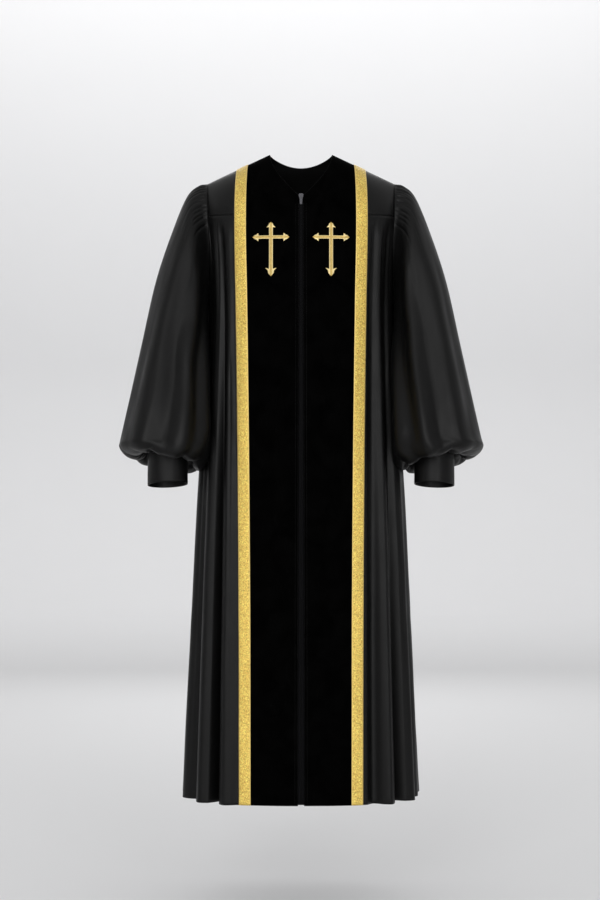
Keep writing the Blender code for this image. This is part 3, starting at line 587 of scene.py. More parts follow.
def front(side, place, z, folded=True):
    """A point of the front, from the zip to the side seam and from the hem to the yoke."""
    top_z = armhole_z(place, YOKE_PLACE, YOKE_Z, 2.0)
    out = folds(FRONT_FOLDS[side], place, z, top_z) if folded else 0.0
    points = torso(front_angle(place, z), z, out)
    return points * (SIDES[side], 1, 1)


def back(place, z, folded=True):
    """A point of the back. Place runs from 1 at the left side seam to -1 at the right one."""
    top_z = armhole_z(np.abs(place), BACK_YOKE_PLACE, BACK_YOKE_Z, 1.0)
    out = folds(BACK_FLUTES, place, z, top_z) if folded else 0.0
    return torso(180 - 90 * place, z, out)


def ridge(x):
    """The shoulder seam's straight line. Inside the neck it goes on a little higher, as a guide
    for the neckline's cut."""
    beyond = np.clip((x - NECK_X) / (TIP_X - NECK_X), 0, 1)
    inside = 1 - np.clip(x / NECK_X, 0, 1) ** 2
    z = TIP_Z * beyond + NECK_GUIDE_RISE * inside
    return np.stack([x, 0 * x, z], axis=-1)


def over_shoulder(base, top, lean, rise):
    """A cubic curve from a yoke seam, which it leaves nearly upright, to the shoulder seam, which
    it meets nearly level, bent by one guide point near each end."""
    up = SHOULDER_UP * (top[..., 2] - base[..., 2])
    back_off = SHOULDER_BACK * base[..., 1]
    zero = 0 * up
    first = base + np.stack([zero, lean * up, up], axis=-1)
    second = top + np.stack([zero, back_off, zero - SHOULDER_DIP], axis=-1)
    rise = np.asarray(rise)[..., None]
    return (
        (1 - rise) ** 3 * base
        + 3 * (1 - rise) ** 2 * rise * first
        + 3 * (1 - rise) * rise**2 * second
        + rise**3 * top
    )


def front_shoulder(side, place, rise):
    """A point of the front above the yoke seam, for the velvet, the band and the front yoke."""
    base = front(side, place, YOKE_Z + 0 * place, folded=False) * (SIDES[side], 1, 1)
    edge = float(FRONT_LINES["band_edge"][-1])
    beyond = (place - 1) / (YOKE_PLACE - 1)
    x = np.where(place <= 1, place * edge, edge + (TIP_X - edge) * beyond)
    return over_shoulder(base, ridge(x), FRONT_LEAN, rise) * (SIDES[side], 1, 1)


def back_shoulder(place, rise):
    """A point of the back yoke, from its seam over to the shoulder seam."""
    base = back(place, BACK_YOKE_Z + 0 * place, folded=False)
    x = base[..., 0] * (TIP_X / ARMHOLE_X)
    top = ridge(np.abs(x))
    top[..., 0] = x
    return over_shoulder(base, top, BACK_LEAN, rise)


def neckline_rise(side, places):
    """Where the V of the neckline ends each column of the velvet: the rise at which the column's
    shoulder curve first climbs past the neckline."""
    rises = np.linspace(0, 1, RISE_STEPS)
    curve = front_shoulder(side, places[:, None], rises[None, :])
    past = curve[..., 2] - follow(NECKLINE, "x", "z", np.abs(curve[..., 0]))
    edge = float(FRONT_LINES["band_edge"][-1])
    return np.where(places * edge >= NECK_X - 1e-6, 1.0, first_past(past, rises))


def back_neck_rise(places):
    """Where the round of the back neck, half an ellipse seen from above, ends each column of the
    back yoke."""
    rises = np.linspace(0, 1, RISE_STEPS)
    curve = back_shoulder(places[:, None], rises[None, :])
    top_x = np.abs(curve[:, -1, 0])
    stop_y = BACK_NECK_DEPTH * np.sqrt(np.clip(1 - (top_x / NECK_X) ** 2, 0, 1))
    found = first_past(stop_y[:, None] - curve[..., 1], rises)
    return np.where(top_x >= NECK_X - 1e-6, 1.0, found)


def first_past(past, rises):
    """The rise at which each row of numbers first passes 0, on a straight line between two
    steps."""
    row = np.arange(len(past))
    step = np.clip(np.argmax(past > 0, axis=1), 1, None)
    before, after = past[row, step - 1], past[row, step]
    share = np.clip(before / (before - after), 0, 1)
    found = rises[step - 1] + share * (rises[step] - rises[step - 1])
    return np.where((past > 0).any(axis=1), found, 1.0)


def normals(points, closed=False):
    """Unit normals of a grid of points: the cross product of its two ways, columns first."""
    if closed:
        along = np.roll(points, -1, axis=1) - np.roll(points, 1, axis=1)
    else:
        along = np.gradient(points, axis=1)
    normal = np.cross(along, np.gradient(points, axis=0))
    return normal / np.linalg.norm(normal, axis=2, keepdims=True)


def moved_out(points, distance):
    """The same grid, moved along its normals."""
    return points + normals(points) * distance


def seamed(points, wall, row=None, column=None):
    """Draws one edge that lies on y = 0 back by half a seam and by its wall's own slant, so that
    the whole wall stays on its own side of the seam."""
    edge = np.s_[row, :] if column is None else np.s_[:, column]
    tilt = np.abs(normals(points)[edge][:, 1])
    inwards = np.sign(points.mean(axis=(0, 1))[1])
    points[edge][:, 1] += inwards * (SEAM / 2 + wall * tilt)
    return points


def worn(side, points):
    """Columns that run from the middle outwards, turned round on the right so that faces point
    out."""
    return points if side == "left" else points[:, ::-1]


def front_face(side, place, z, folded):
    """The front's outer face: the hollow form, its folds and pleats, and the unevenness of the
    cloth, which is less on the velvet and dies away at the zip and the side seam."""
    top_z = armhole_z(place, YOKE_PLACE, YOKE_Z, 2.0)
    width = follow(FRONT_LINES, "z", "band_edge", z)
    x = np.where(place <= 1, place * width, width + (place - 1) * 0.16)
    beyond = ease((place - 1) / 0.12)
    uneven = drape(SEEDS["front"][side], x, z, FRONT_UNEVEN + CLOTH_UNEVEN * beyond)
    out = uneven * ease(place / 0.35) * (1 - ease((place - 1.9) / 0.1))
    if folded:
        raised = folds(FRONT_FOLDS[side], place, z, top_z) + pleats(side, place, z, top_z)
        out = out + bpy.context.scene.robe_cloth.fold_depth * raised
    points = torso(front_angle(place, z), z, out)
    return points * (SIDES[side], 1, 1)


def pleats(side, place, z, top_z):
    """Sharper folds that the panel's own table leaves out: each is a pinched valley whose place
    drifts down the cloth and whose depth grows to one height and fades to another."""
    total = np.zeros(np.broadcast(place, z).shape)
    for row in FRONT_PLEATS[side]:
        middle = row["place"] + row["lean"] * (YOKE_Z - z)
        grown = ease((row["start"] - z) / PLEAT_GROWTH) * ease((z - row["end"]) / PLEAT_FADE)
        total = total - row["depth"] * grown * pinch(place - middle, row["reach"])
    return total * ease((top_z - z) / 0.03)


def back_face(place, z):
    """The back's outer face: the hollow form, its flutes, which drift a little sideways on their
    way down, and the unevenness of the cloth. Both die away at the side seams."""
    top_z = armhole_z(np.abs(place), BACK_YOKE_PLACE, BACK_YOKE_Z, 1.0)
    inside = 1 - ease((np.abs(place) - 0.94) / 0.06)
    uneven = drape(SEEDS["back"], place * 0.34, z, BACK_UNEVEN) * inside
    sway = BACK_DRIFT * wander(z, 1.1, SEEDS["back drift"]) * ease((BACK_YOKE_Z - z) / 0.5) * inside
    flutes = bpy.context.scene.robe_cloth.fold_depth * folds(BACK_FLUTES, place + sway, z, top_z)
    return torso(180 - 90 * place, z, flutes + uneven)


def velvet_grid(side, across, low, high):
    """The velvet front, from the zip to the band's outer edge and from the hem to the neck and
    shoulder. Across counts the rows of the neckline's table, then four stations: midway to the
    band, its inner edge, its middle and its outer edge. Low and high are shares of the way from
    the hem to the yoke's level and on to the neck. Where the opening is wider than the neckline's
    foot, the first columns are drawn together beside it."""
    edge = float(FRONT_LINES["band_edge"][-1])
    inner = edge - BAND_WIDTH
    tops = np.append(NECKLINE["x"], [(NECK_X + inner) / 2, inner, edge - BAND_WIDTH / 2, edge])
    feet = np.append(NECKLINE["foot"], [(NECKLINE["foot"][-1] + inner) / 2, *tops[-3:]])
    top = np.interp(across, np.arange(len(tops)), tops)
    foot = np.interp(across, np.arange(len(feet)), feet)
    z = HEM_Z + (YOKE_Z - HEM_Z) * low[:, None]
    opening, edges = (follow(FRONT_LINES, "z", name, z) for name in ("opening", "band_edge"))
    beside_zip = opening + 0.1 * (foot - foot[0])
    drawn_in = np.maximum(beside_zip, foot / inner * (edges - BAND_WIDTH))
    x = np.where(foot < inner, drawn_in, edges - (edge - foot))
    below = front_face(side, x / edges, z, folded=False)
    begin = x[-1] / edges[-1]
    places = begin + (top / edge - begin) * high[:, None]
    above = front_shoulder(side, places, high[:, None] * neckline_rise(side, top / edge))
    points = np.concatenate([below, above])
    over = int(np.argmax(across >= len(NECKLINE) - 1))
    wall = bpy.context.scene.robe_cloth.velvet_wall
    points[:, over:] = seamed(points[:, over:], wall, row=-1)
    return points


def velvet_front(side):
    """The velvet's grid at its full fineness, with the columns that the band covers spaced
    evenly."""
    neck = len(NECKLINE) - 1
    across = np.concatenate(
        [
            np.linspace(0, neck, VELVET_COLUMNS),
            np.linspace(neck, neck + 2, VELVET_EDGE_COLUMNS)[1:],
            np.linspace(neck + 2, neck + 4, BAND_COLUMNS)[1:],
        ]
    )
    low = np.linspace(0, 1, VELVET_ROWS)
    high = np.linspace(0, 1, NECK_ROWS)[1:]
    return velvet_grid(side, across, low, high)


def armhole_shares():
    """Stations along an armhole's curve after its first point, down to 0 at the underarm: sines of
    even angles, which lie evenly along a quarter of a circle."""
    return np.sin(np.radians(np.linspace(90, 0, ARMHOLE_STEPS)))[1:]


def front_grid(side):
    """The front below the yoke, from the band to the side seam, with its armhole cut in."""
    wall = bpy.context.scene.robe_cloth.wall
    yoke_places = np.linspace(1, YOKE_PLACE, FRONT_COLUMNS)
    places = np.append(yoke_places, 2 - (2 - YOKE_PLACE) * armhole_shares())
    top_z = armhole_z(places, YOKE_PLACE, YOKE_Z, 2.0) - SEAM
    z = HEM_Z + np.linspace(0, 1, FRONT_ROWS)[:, None] * (top_z - HEM_Z)
    points = front_face(side, np.broadcast_to(places, z.shape), z, folded=True)
    points[:, 0, 0] += SIDES[side] * SEAM
    return seamed(points, wall, column=-1)


def front_yoke_grid(side):
    """The shoulder piece between the band, the yoke seam, the armhole and the shoulder seam."""
    places = np.linspace(1, YOKE_PLACE, YOKE_COLUMNS)
    points = front_shoulder(side, *np.meshgrid(places, np.linspace(0, 1, YOKE_ROWS)))
    points[:, 0, 0] += SIDES[side] * SEAM
    return seamed(points, bpy.context.scene.robe_cloth.wall, row=-1)


def back_grid():
    """The back below its yoke, from side seam to side seam, fluted."""
    wall = bpy.context.scene.robe_cloth.wall
    inner = np.linspace(-BACK_YOKE_PLACE, BACK_YOKE_PLACE, BACK_COLUMNS)
    outer = 1 - (1 - BACK_YOKE_PLACE) * armhole_shares()
    places = np.concatenate([outer[::-1], inner[::-1], -outer])
    top_z = armhole_z(np.abs(places), BACK_YOKE_PLACE, BACK_YOKE_Z, 1.0) - SEAM
    z = HEM_Z + np.linspace(0, 1, BACK_ROWS)[:, None] * (top_z - HEM_Z)
    points = back_face(np.broadcast_to(places, z.shape), z)
    return seamed(seamed(points, wall, column=0), wall, column=-1)


def back_yoke_grid():
    """The back's shoulder piece, from armhole to armhole, with the round of the neck cut in."""
    wall = bpy.context.scene.robe_cloth.wall
    neck_place = float(angle_at(NECK_X * ARMHOLE_X / TIP_X, BACK_YOKE_Z)) / 90
    neck = neck_place * np.sin(np.radians(np.linspace(0, 90, NECK_COLUMNS)))
    beyond = np.linspace(neck_place, BACK_YOKE_PLACE, BACK_YOKE_COLUMNS)[1:]
    half = np.append(neck, beyond)
    places = np.concatenate([half[::-1], -half[1:]])
    rises = np.linspace(0, 1, BACK_YOKE_ROWS)[:, None] * back_neck_rise(places)
    points = back_shoulder(places, rises)
    for shoulder in (points[:, : len(beyond) + 1], points[:, -len(beyond) - 1 :]):
        seamed(shoulder, wall, row=-1)
    return points


def armhole(angles):
    """Points of the left armhole, at angles from its top round by the front: the yoke's and the
    panel's own edges, measured off evenly along their length."""
    rises = np.linspace(1, 0, YOKE_ROWS)
    front_place = 2 - (2 - YOKE_PLACE) * armhole_shares()
    back_place = 1 - (1 - BACK_YOKE_PLACE) * armhole_shares()
    front_z = armhole_z(front_place, YOKE_PLACE, YOKE_Z, 2.0)
    back_z = armhole_z(back_place, BACK_YOKE_PLACE, BACK_YOKE_Z, 1.0)
    halves = (
        (
            front_shoulder("left", YOKE_PLACE + 0 * rises, rises),
            front_face("left", front_place, front_z, folded=False),
            angles / 180,
        ),
        (
            back_shoulder(BACK_YOKE_PLACE + 0 * rises, rises),
            torso(180 - 90 * back_place, back_z),
            (360 - angles) / 180,
        ),
    )
    found = np.zeros((len(angles), 3))
    for upper, lower, share in halves:
        half = np.concatenate([upper, lower])
        steps = np.append(0, np.cumsum(np.linalg.norm(np.diff(half, axis=0), axis=1)))
        chosen = (share >= 0) & (share <= 1)
        for k in range(3):
            found[chosen, k] = np.interp(share[chosen] * steps[-1], steps, half[:, k])
    return found


def follow_row(column, row):
    """A smooth curve through one column of the SLEEVE table, by row number."""
    numbered = np.zeros(len(SLEEVE), dtype=[("row", float), (column, float)])
    numbered["row"] = np.arange(len(SLEEVE))
    numbered[column] = SLEEVE[column]
    return follow(numbered, "row", column, row)


def apart(angles, angle):
    """The angle between two directions, from -180 to 180."""
    return (angles - angle + 180) % 360 - 180


def sleeve_rings(angles, rows):
    """Rings of the sleeve, one for each row: ellipses whose long axis runs between the outer and
    inner outlines and whose other axis is the table's depth, from front to back."""
    places = {name: follow_row(name, rows)[:, None] for name in SLEEVE.dtype.names}
    nought = 0 * places["outer_x"]
    outer = np.stack([places["outer_x"], nought, places["outer_z"]], axis=-1)
    inner = np.stack([places["inner_x"], nought, places["inner_z"]], axis=-1)
    middle = (outer + inner) / 2 + np.stack([nought, places["mid_y"], nought], axis=-1)
    across = (outer - inner) / 2
    forward = np.stack([nought, -places["half_depth"], nought], axis=-1)
    turn = np.radians(angles)[None, :, None]
    rings = middle + across * np.cos(turn) + forward * np.sin(turn)
    rings[..., 2] += places["front_lift"] * np.sin(turn[..., 0])
    return rings


def sleeve_relief(side, angles, rows):
    """How far the sleeve's cloth stands out from its rings: the table's long folds, the drawn
    gathers at the cap, the lobes over the cuff and the fine folds at its seam, the unevenness of
    the cloth, and the fullness under the arm. Its draws come in that order."""
    seed = SEEDS["sleeve"][side]
    chance = np.random.default_rng(seed)
    row, angle = rows[:, None], angles[None, :]
    total = np.zeros((len(rows), len(angles)))
    for fold in SLEEVE_FOLDS[side]:
        middle = fold["angle"] + 3.0 * wander(row, 5.0, seed + int(fold["angle"]))
        grown = ease((row - fold["start"]) / 4.0) * (1 - ease((row - fold["end"] + 2.0) / 2.0))
        total += fold["depth"] * grown * bump(apart(angle, middle), fold["reach"])
    total *= bpy.context.scene.robe_cloth.fold_depth
    for k in range(CAP_FOLDS):
        place = 2 * CAP_FOLD_HALF * ((k + 0.5 + chance.uniform(-0.28, 0.28)) / CAP_FOLDS - 0.5)
        length = chance.uniform(*CAP_FOLD_LENGTHS)
        depth = CAP_FOLD_DEPTH * chance.uniform(0.55, 1.25)
        fan = place * (1 + CAP_FAN * row)
        grown = ease(row / 0.5) * (1 - ease((row - 0.7) / length))
        total -= depth * grown * pinch(apart(angle, fan), chance.uniform(*CAP_FOLD_WIDTHS))
    for k in range(CUFF_LOBES):
        place = 360 * (k + chance.uniform(-0.22, 0.22)) / CUFF_LOBES
        start = chance.uniform(*LOBE_STARTS)
        depth = LOBE_DEPTH * chance.uniform(0.6, 1.3)
        middle = place + LOBE_WANDER * wander(row, 3.0, seed + 100 + k)
        grown = ease((row - start) / 2.6) * (1 - ease((row - 11.2) / 0.8))
        total -= depth * grown * pinch(apart(angle, middle), chance.uniform(*LOBE_WIDTHS))
    for k in range(CUFF_FOLDS):
        place = 360 * (k + chance.uniform(-0.3, 0.3)) / CUFF_FOLDS
        start = chance.uniform(*CUFF_FOLD_STARTS)
        depth = CUFF_FOLD_DEPTH * chance.uniform(0.6, 1.3)
        grown = ease((row - start) / 1.0) * (1 - ease((row - 11.5) / 0.5))
        total -= depth * grown * pinch(apart(angle, place), chance.uniform(*CUFF_FOLD_WIDTHS))
    total += SLEEVE_UNEVEN * sleeve_ripples(angle, row, seed)
    fullness = ease(row / 0.35) * (1 - ease((row - 1.2) / 2.0))
    total += UNDERARM_FULLNESS * bump(apart(angle, 180.0), 70) * fullness
    return total * seam_fade(row)


def sleeve_ripples(angle, row, seed):
    """The unevenness of the sleeve's cloth, from -1 to 1: broad and narrow ripples round it whose
    places wander down it, dying away at the cap, at the cuff and along the outer edge."""
    broad, narrow = (2 * np.pi * SLEEVE_RADIUS / count for count in SLEEVE_RIPPLES)
    arc = np.radians(angle) * SLEEVE_RADIUS + 0.02 * wander(row, 4.0, seed + 60)
    uneven = 0.6 * wander(arc, broad, seed + 61) * (1 + 0 * row)
    uneven = uneven + 0.4 * wander(arc, narrow, seed + 62) * wander(row, 2.6, seed + 63)
    ends = ease(row / 1.2) * (1 - ease((row - SLEEVE_END + 1.0) / 1.0))
    return uneven * ends * ease(np.abs(apart(angle, 0.0)) / 20)


def seam_fade(row):
    """1 along the sleeve, and 0 at the cuff's seam, where its gathers are stitched flat."""
    return 1 - ease(row - SLEEVE_END + 1)


def kept_clear(side, points):
    """Moves points that would lie in the body's folds sideways out of them, with a rounded turn,
    so that the sleeve hangs against the body."""
    x, y, z = (points[..., k] for k in range(3))
    half_width = follow(TORSO, "z", "half_width", z)
    depth = np.where(y < 0, follow(TORSO, "z", "front", z), follow(TORSO, "z", "back", z))
    across = np.clip(1 - np.abs(y / depth) ** SQUARENESS, 0, 1) ** (1 / SQUARENESS)
    angle = angle_at(across * half_width, z)
    place = 1 + (angle - front_angle(1.0, z)) / (90 - front_angle(1.0, z))
    front_out = folds(FRONT_FOLDS[side], place, z, UNDERARM_Z + 0 * z)
    back_place = angle / 90 * (1 if side == "left" else -1)
    back_out = folds(BACK_FLUTES, back_place, z, UNDERARM_Z + 0 * z)
    out = SLEEVE_CLEARANCE + CLOTH + np.maximum(np.where(y < 0, front_out, back_out), 0)
    inside = (np.abs(y) < depth) & (z < UNDERARM_Z)
    limit = across * half_width + out
    eased = (x + limit + np.hypot(x - limit, EASE_OUT)) / 2
    pushed = points.copy()
    pushed[..., 0] = np.where(inside, eased, x)
    return pushed


def sleeve_grid(side):
    """The sleeve from the armhole to the cuff, gathered at both ends."""
    angles = np.linspace(0, 360, SLEEVE_COLUMNS + 1)[:-1]
    stretches = [np.linspace(*stretch)[:-1] for stretch in SLEEVE_ROWS]
    rows = np.append(np.concatenate(stretches), float(SLEEVE_END))
    points = sleeve_rings(angles, rows)
    shift = armhole(angles) + (SEAM * 1.5, 0, 0) - points[0]
    points += shift * (1 - ease(rows / 2.5))[:, None, None]
    outward = normals(points, closed=True)
    points = kept_clear(side, points + outward * sleeve_relief(side, angles, rows)[..., None])
    if side == "right":
        points = points[:, ::-1] * (-1, 1, 1)
    return points


def cuff_grid(side):
    """The cuff: an elliptical band that flares a little, dips on its outer side and swells
    between its stitched edges."""
    angles = np.radians(np.linspace(0, 360, CUFF_COLUMNS + 1)[:-1])
    share = np.linspace(0, 1, CUFF_ROWS)[:, None]
    swell = CUFF_SWELL * np.sin(np.pi * share) ** 0.5
    ripple = CUFF_RIPPLE * wander(angles * 0.04, 0.055, SEEDS["cuff"][side]) * np.sin(np.pi * share)
    out = CUFF_FLARE * share + swell + ripple * np.sin(angles / 2)
    x = CUFF_X + (CUFF_HALF_WIDTH + out) * np.cos(angles)
    y = CUFF_Y - (CUFF_HALF_DEPTH + out) * np.sin(angles)
    tilt = CUFF_TILT * np.sin(angles) - CUFF_SLANT * np.cos(angles)
    z = CUFF_TOP_Z + (CUFF_BOTTOM_Z - CUFF_TOP_Z) * share + share * tilt
    points = np.stack([x, y, z], axis=-1)
    if side == "right":
        points = points[:, ::-1] * (-1, 1, 1)
    return points


def band_grid(side, velvet):
    """The gold band: the velvet's outer columns moved out on to its face, with half an ellipse's
    fullness across them."""
    columns = worn(side, velvet[:, -BAND_COLUMNS:])
    share = np.linspace(-1, 1, BAND_COLUMNS)[None, :, None]
    return moved_out(columns, SEAM + BROCADE + BAND_FULLNESS * np.sqrt(1 - share**2))


def on_velvet(side, x, z):
    """A point of the velvet's face, from its distance out from the middle and its height, up to
    the neckline: the hollow form as far as the yoke's level, and the shoulder's curve above
    it."""
    place = x / follow(FRONT_LINES, "z", "band_edge", z)
    low = front_face(side, place, np.minimum(z, YOKE_Z), folded=False)
    edge = float(FRONT_LINES["band_edge"][-1])
    rises = np.linspace(0, 0.6, 200)
    curve = front_shoulder(side, np.full(200, np.mean(x) / edge), rises)
    y = np.interp(z, curve[:, 2], curve[:, 1])
    high = np.stack([SIDES[side] * x + 0 * z, y, z + 0 * x], axis=-1)
    return np.where((z > YOKE_Z)[..., None], high, low)


def facing_out(at, x, z):
    """Unit normals of a face at (x, z), from small steps across and up it, turned to the front."""
    step = 0.0004
    normal = np.cross(at(x + step, z) - at(x - step, z), at(x, z + step) - at(x, z - step))
    normal /= np.linalg.norm(normal, axis=-1, keepdims=True)
    return normal * -np.sign(normal[..., 1:2])


def cross_grids(side):
    """The cross's post and bar, each as a strip of satin stitch: its half width follows the
    outline's table, its outermost stitches curl back, and its height is a flattened half circle
    across it, lower where the strip is narrow."""

    def place(x, z):
        return on_velvet(side, SIDES[side] * x, z)

    grids = []
    across = np.sin(np.radians(np.linspace(-90, 90, CROSS_COLUMNS)))[None, :]
    for table, upright in ((CROSS_POST, True), (CROSS_BAR, False)):
        stations = np.linspace(0, len(table) - 1, CROSS_ROWS)
        along = np.interp(stations, np.arange(len(table)), table["along"])[:, None]
        half = np.interp(along, table["along"], table["half_width"])
        curl = np.interp(along, table["along"], table["curl"])
        way = along + curl * across**2
        out = np.maximum(half, THINNEST_ARM) * across
        x, z = (out, way) if upright else (way, -out)
        x, z = SIDES[side] * CROSS_X + x, CROSS_Z + z
        rounded = 0.3 + 0.7 * np.sqrt(1 - across**2)
        lift = SEAM + CROSS_WALL + CROSS_RISE * rounded * np.minimum(1, 0.35 + half / 0.004)
        grids.append(place(x, z) + facing_out(place, x, z) * lift[..., None])
    return grids


def tape_grid():
    """The zip's tape: a strip behind the two velvet edges, all the way down, just inside their
    walls."""
    top_z = float(NECKLINE["z"][0]) - 0.001
    z = np.linspace(HEM_Z + 0.002, top_z, TAPE_ROWS)[:, None]
    x = np.linspace(-TAPE_WIDTH / 2, TAPE_WIDTH / 2, TAPE_COLUMNS)[None, :]
    right, left = (on_velvet(side, np.abs(x) + 0 * z, z + 0 * x) for side in ("right", "left"))
    return moved_out(np.where((x < 0)[..., None], right, left), -(VELVET + SEAM * 1.5))


def zip_line():
    """The zip's middle line, sunk into the tape by half a tooth, from the hem up to the slider."""
    z = np.linspace(HEM_Z + ABOVE_HEM, TEETH_TOP_Z, 400)
    outward = facing_out(partial(on_velvet, "left"), np.full(len(z), 0.0005), z)
    points = on_velvet("left", np.zeros(len(z)), z)
    return points - outward * (VELVET + SEAM * 1.5 - 0.0006), outward


def grid_line(grid, row=None, column=None):
    """One row or column of a grid as a line to sew along, with its normals."""
    chosen = np.s_[row, :] if column is None else np.s_[:, column]
    outward = normals(grid)[chosen]
    return grid[chosen] + outward * THREAD_LIFT, outward


def black_lines():
    """The black seams: beside the zip, along the yokes and the neck, and round the cuffs."""
    lines = []
    z = np.linspace(HEM_Z + ABOVE_HEM, ZIP_SEAM_TOP_Z, 500)
    for side in SIDES:
        place = partial(on_velvet, side)
        for gap in ZIP_SEAM_GAPS:
            x = follow(FRONT_LINES, "z", "opening", z) + gap
            outward = facing_out(place, x, z)
            lines.append((place(x, z) + outward * THREAD_LIFT, outward))
        yoke = worn(side, front_yoke_grid(side))
        cuff = cuff_grid(side)
        cuff = np.concatenate([cuff, cuff[:, :2]], axis=1)
        lines += [grid_line(yoke, row=1), grid_line(yoke, row=-3)]
        lines.append(grid_line(worn(side, velvet_front(side)), row=-3))
        lines += [grid_line(cuff, row=2), grid_line(cuff, row=-3)]
    lines.append(grid_line(back_yoke_grid(), row=1))
    return lines


def gold_lines():
    """The gold seams: one close inside each edge of each band."""
    bands = [band_grid(side, velvet_front(side)) for side in SIDES]
    return [grid_line(band, column=column) for band in bands for column in (1, -2)]


def along_path(points, outward, pitch):
    """Places at an even pitch along a line, each with its ways along, across and out as a turn."""
    steps = np.append(0, np.cumsum(np.linalg.norm(np.diff(points, axis=0), axis=1)))
    at = (np.arange(int(steps[-1] / pitch)) + 0.5) * pitch
    middle, out = (
        np.stack([np.interp(at, steps, line[:, k]) for k in range(3)], axis=1)
        for line in (points, outward)
    )
    way = np.gradient(middle, axis=0)
    way /= np.linalg.norm(way, axis=1, keepdims=True)
    across = np.cross(out, way)
    across /= np.linalg.norm(across, axis=1, keepdims=True)
    return middle, np.stack([way, across, np.cross(way, across)], axis=1)


def mesh_from(name, points, faces, corners=None):
    """A smooth mesh from points, faces that all have the same number of corners, and flat cloth
    coordinates for each corner."""
    mesh = bpy.data.meshes.new(name)
    mesh.vertices.add(len(points))
    mesh.vertices.foreach_set("co", np.ascontiguousarray(points, np.float32).ravel())
    mesh.loops.add(faces.size)
    mesh.loops.foreach_set("vertex_index", faces.ravel().astype(np.int32))
    mesh.polygons.add(len(faces))
    starts = np.arange(0, faces.size, faces.shape[1], dtype=np.int32)
    mesh.polygons.foreach_set("loop_start", starts)
    mesh.update(calc_edges=True)
    if corners is not None:
        layer = mesh.uv_layers.new(name="weave")
        layer.uv.foreach_set("vector", np.ascontiguousarray(corners, np.float32).ravel())
    mesh.validate()
    mesh.shade_smooth()
    return mesh


def weave_map(points, closed):
    """Flat cloth coordinates in metres: u is the length along a row from its middle, and v is the
    length down a column from the first row."""
    ring = np.concatenate([points, points[:, :1]], axis=1) if closed else points
    across = np.linalg.norm(np.diff(ring, axis=1), axis=2)
    u = np.concatenate([np.zeros((len(ring), 1)), np.cumsum(across, axis=1)], axis=1)
    down = np.linalg.norm(np.diff(ring, axis=0), axis=2)
    v = np.concatenate([np.zeros((1, ring.shape[1])), np.cumsum(down, axis=0)], axis=0)
    return np.stack([u - u[:, -1:] / 2, v], axis=-1)


def cloth_piece(name, grids, wall, look, replaced, closed=False):
    """One cloth piece from grids of points, its wall on the inner side, riding on the robe."""
    points, faces, corners = [], [], []
    start = 0
    for grid in grids:
        rows, columns = grid.shape[:2]
        index = start + np.arange(rows * columns).reshape(rows, columns)
        beside = np.roll(index, -1, axis=1) if closed else index[:, 1:]
        here = index if closed else index[:, :-1]
        face = np.stack([here[:-1], beside[:-1], beside[1:], here[1:]], axis=-1)
        faces.append(face.reshape(-1, 4))
        flat = weave_map(grid, closed)
        corner = np.stack([flat[:-1, :-1], flat[:-1, 1:], flat[1:, 1:], flat[1:, :-1]], axis=2)
        corners.append(corner.reshape(-1, 2))
        points.append(grid.reshape(-1, 3))
        start += rows * columns
    mesh = mesh_from(name, *(np.concatenate(lists) for lists in (points, faces, corners)))
    piece = shown(name, mesh, look)
    thickness = piece.modifiers.new("wall", "SOLIDIFY")
    thickness.thickness = wall
    thickness.offset = -1
    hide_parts(replaced)
    return piece


def shown(name, mesh, look, body="robe"):
    """Links a mesh as a piece of the robe, with its material."""
    mesh.materials.append(look)
    piece = bpy.data.objects.new(name, mesh)
    bpy.context.scene.collection.objects.link(piece)
    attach(piece, body)
    return piece


def repeated(name, shape, places, look):
    """One mesh of a small shape set down at many places. Shape is a bmesh, which is used up."""
    bmesh.ops.triangulate(shape, faces=shape.faces)
    corners = np.array([vertex.co for vertex in shape.verts])
    faces = np.array([[vertex.index for vertex in face.verts] for face in shape.faces])
    shape.free()
    middles, turns = places
    points = middles[:, None, :] + np.einsum("vk,nkc->nvc", corners, turns)
    every = faces[None] + (np.arange(len(middles)) * len(corners))[:, None, None]
    mesh = mesh_from(name, points.reshape(-1, 3), every.reshape(-1, 3))
    return shown(name, mesh, look)


def add_node(material, kind, inputs=None, **settings):
    """Adds a shader node. Inputs are values or other nodes' outputs, by socket name or number, and
    settings are the node's own fields."""
    made = material.node_tree.nodes.new("ShaderNode" + kind)
    for name, value in settings.items():
        setattr(made, name, value)
    for name, value in (inputs or {}).items():
        if isinstance(value, bpy.types.NodeSocket):
            material.node_tree.links.new(value, made.inputs[name])
        else:
            made.inputs[name].default_value = value
    return made


def new_look(name):
    """A new material with its Principled shader and the piece's flat cloth coordinates, or the
    finished one alone when it has been made already."""
    look = bpy.data.materials.get(name)
    if look:
        return look, None, None
    look = bpy.data.materials.new(name)
    look.use_nodes = True
    shader = look.node_tree.nodes["Principled BSDF"]
    return look, shader, add_node(look, "UVMap", uv_map="weave").outputs["UV"]


def link(look, output, shader, socket):
    """Links an output to one of the shader's sockets."""
    look.node_tree.links.new(output, shader.inputs[socket])


def towards_edges(look, flat, start, end, most=1.0):
    """How near a strip's edges a place lies, measured out from its middle line: 0 up to the start,
    and the most from the end on."""
    across = add_node(look, "SeparateXYZ", {"Vector": flat})
    out = add_node(look, "Math", {0: across.outputs["X"]}, operation="ABSOLUTE")
    reach = add_node(
        look,
        "MapRange",
        {"Value": out.outputs[0], "From Min": start, "From Max": end, "To Max": most},
    )
    return reach.outputs["Result"]


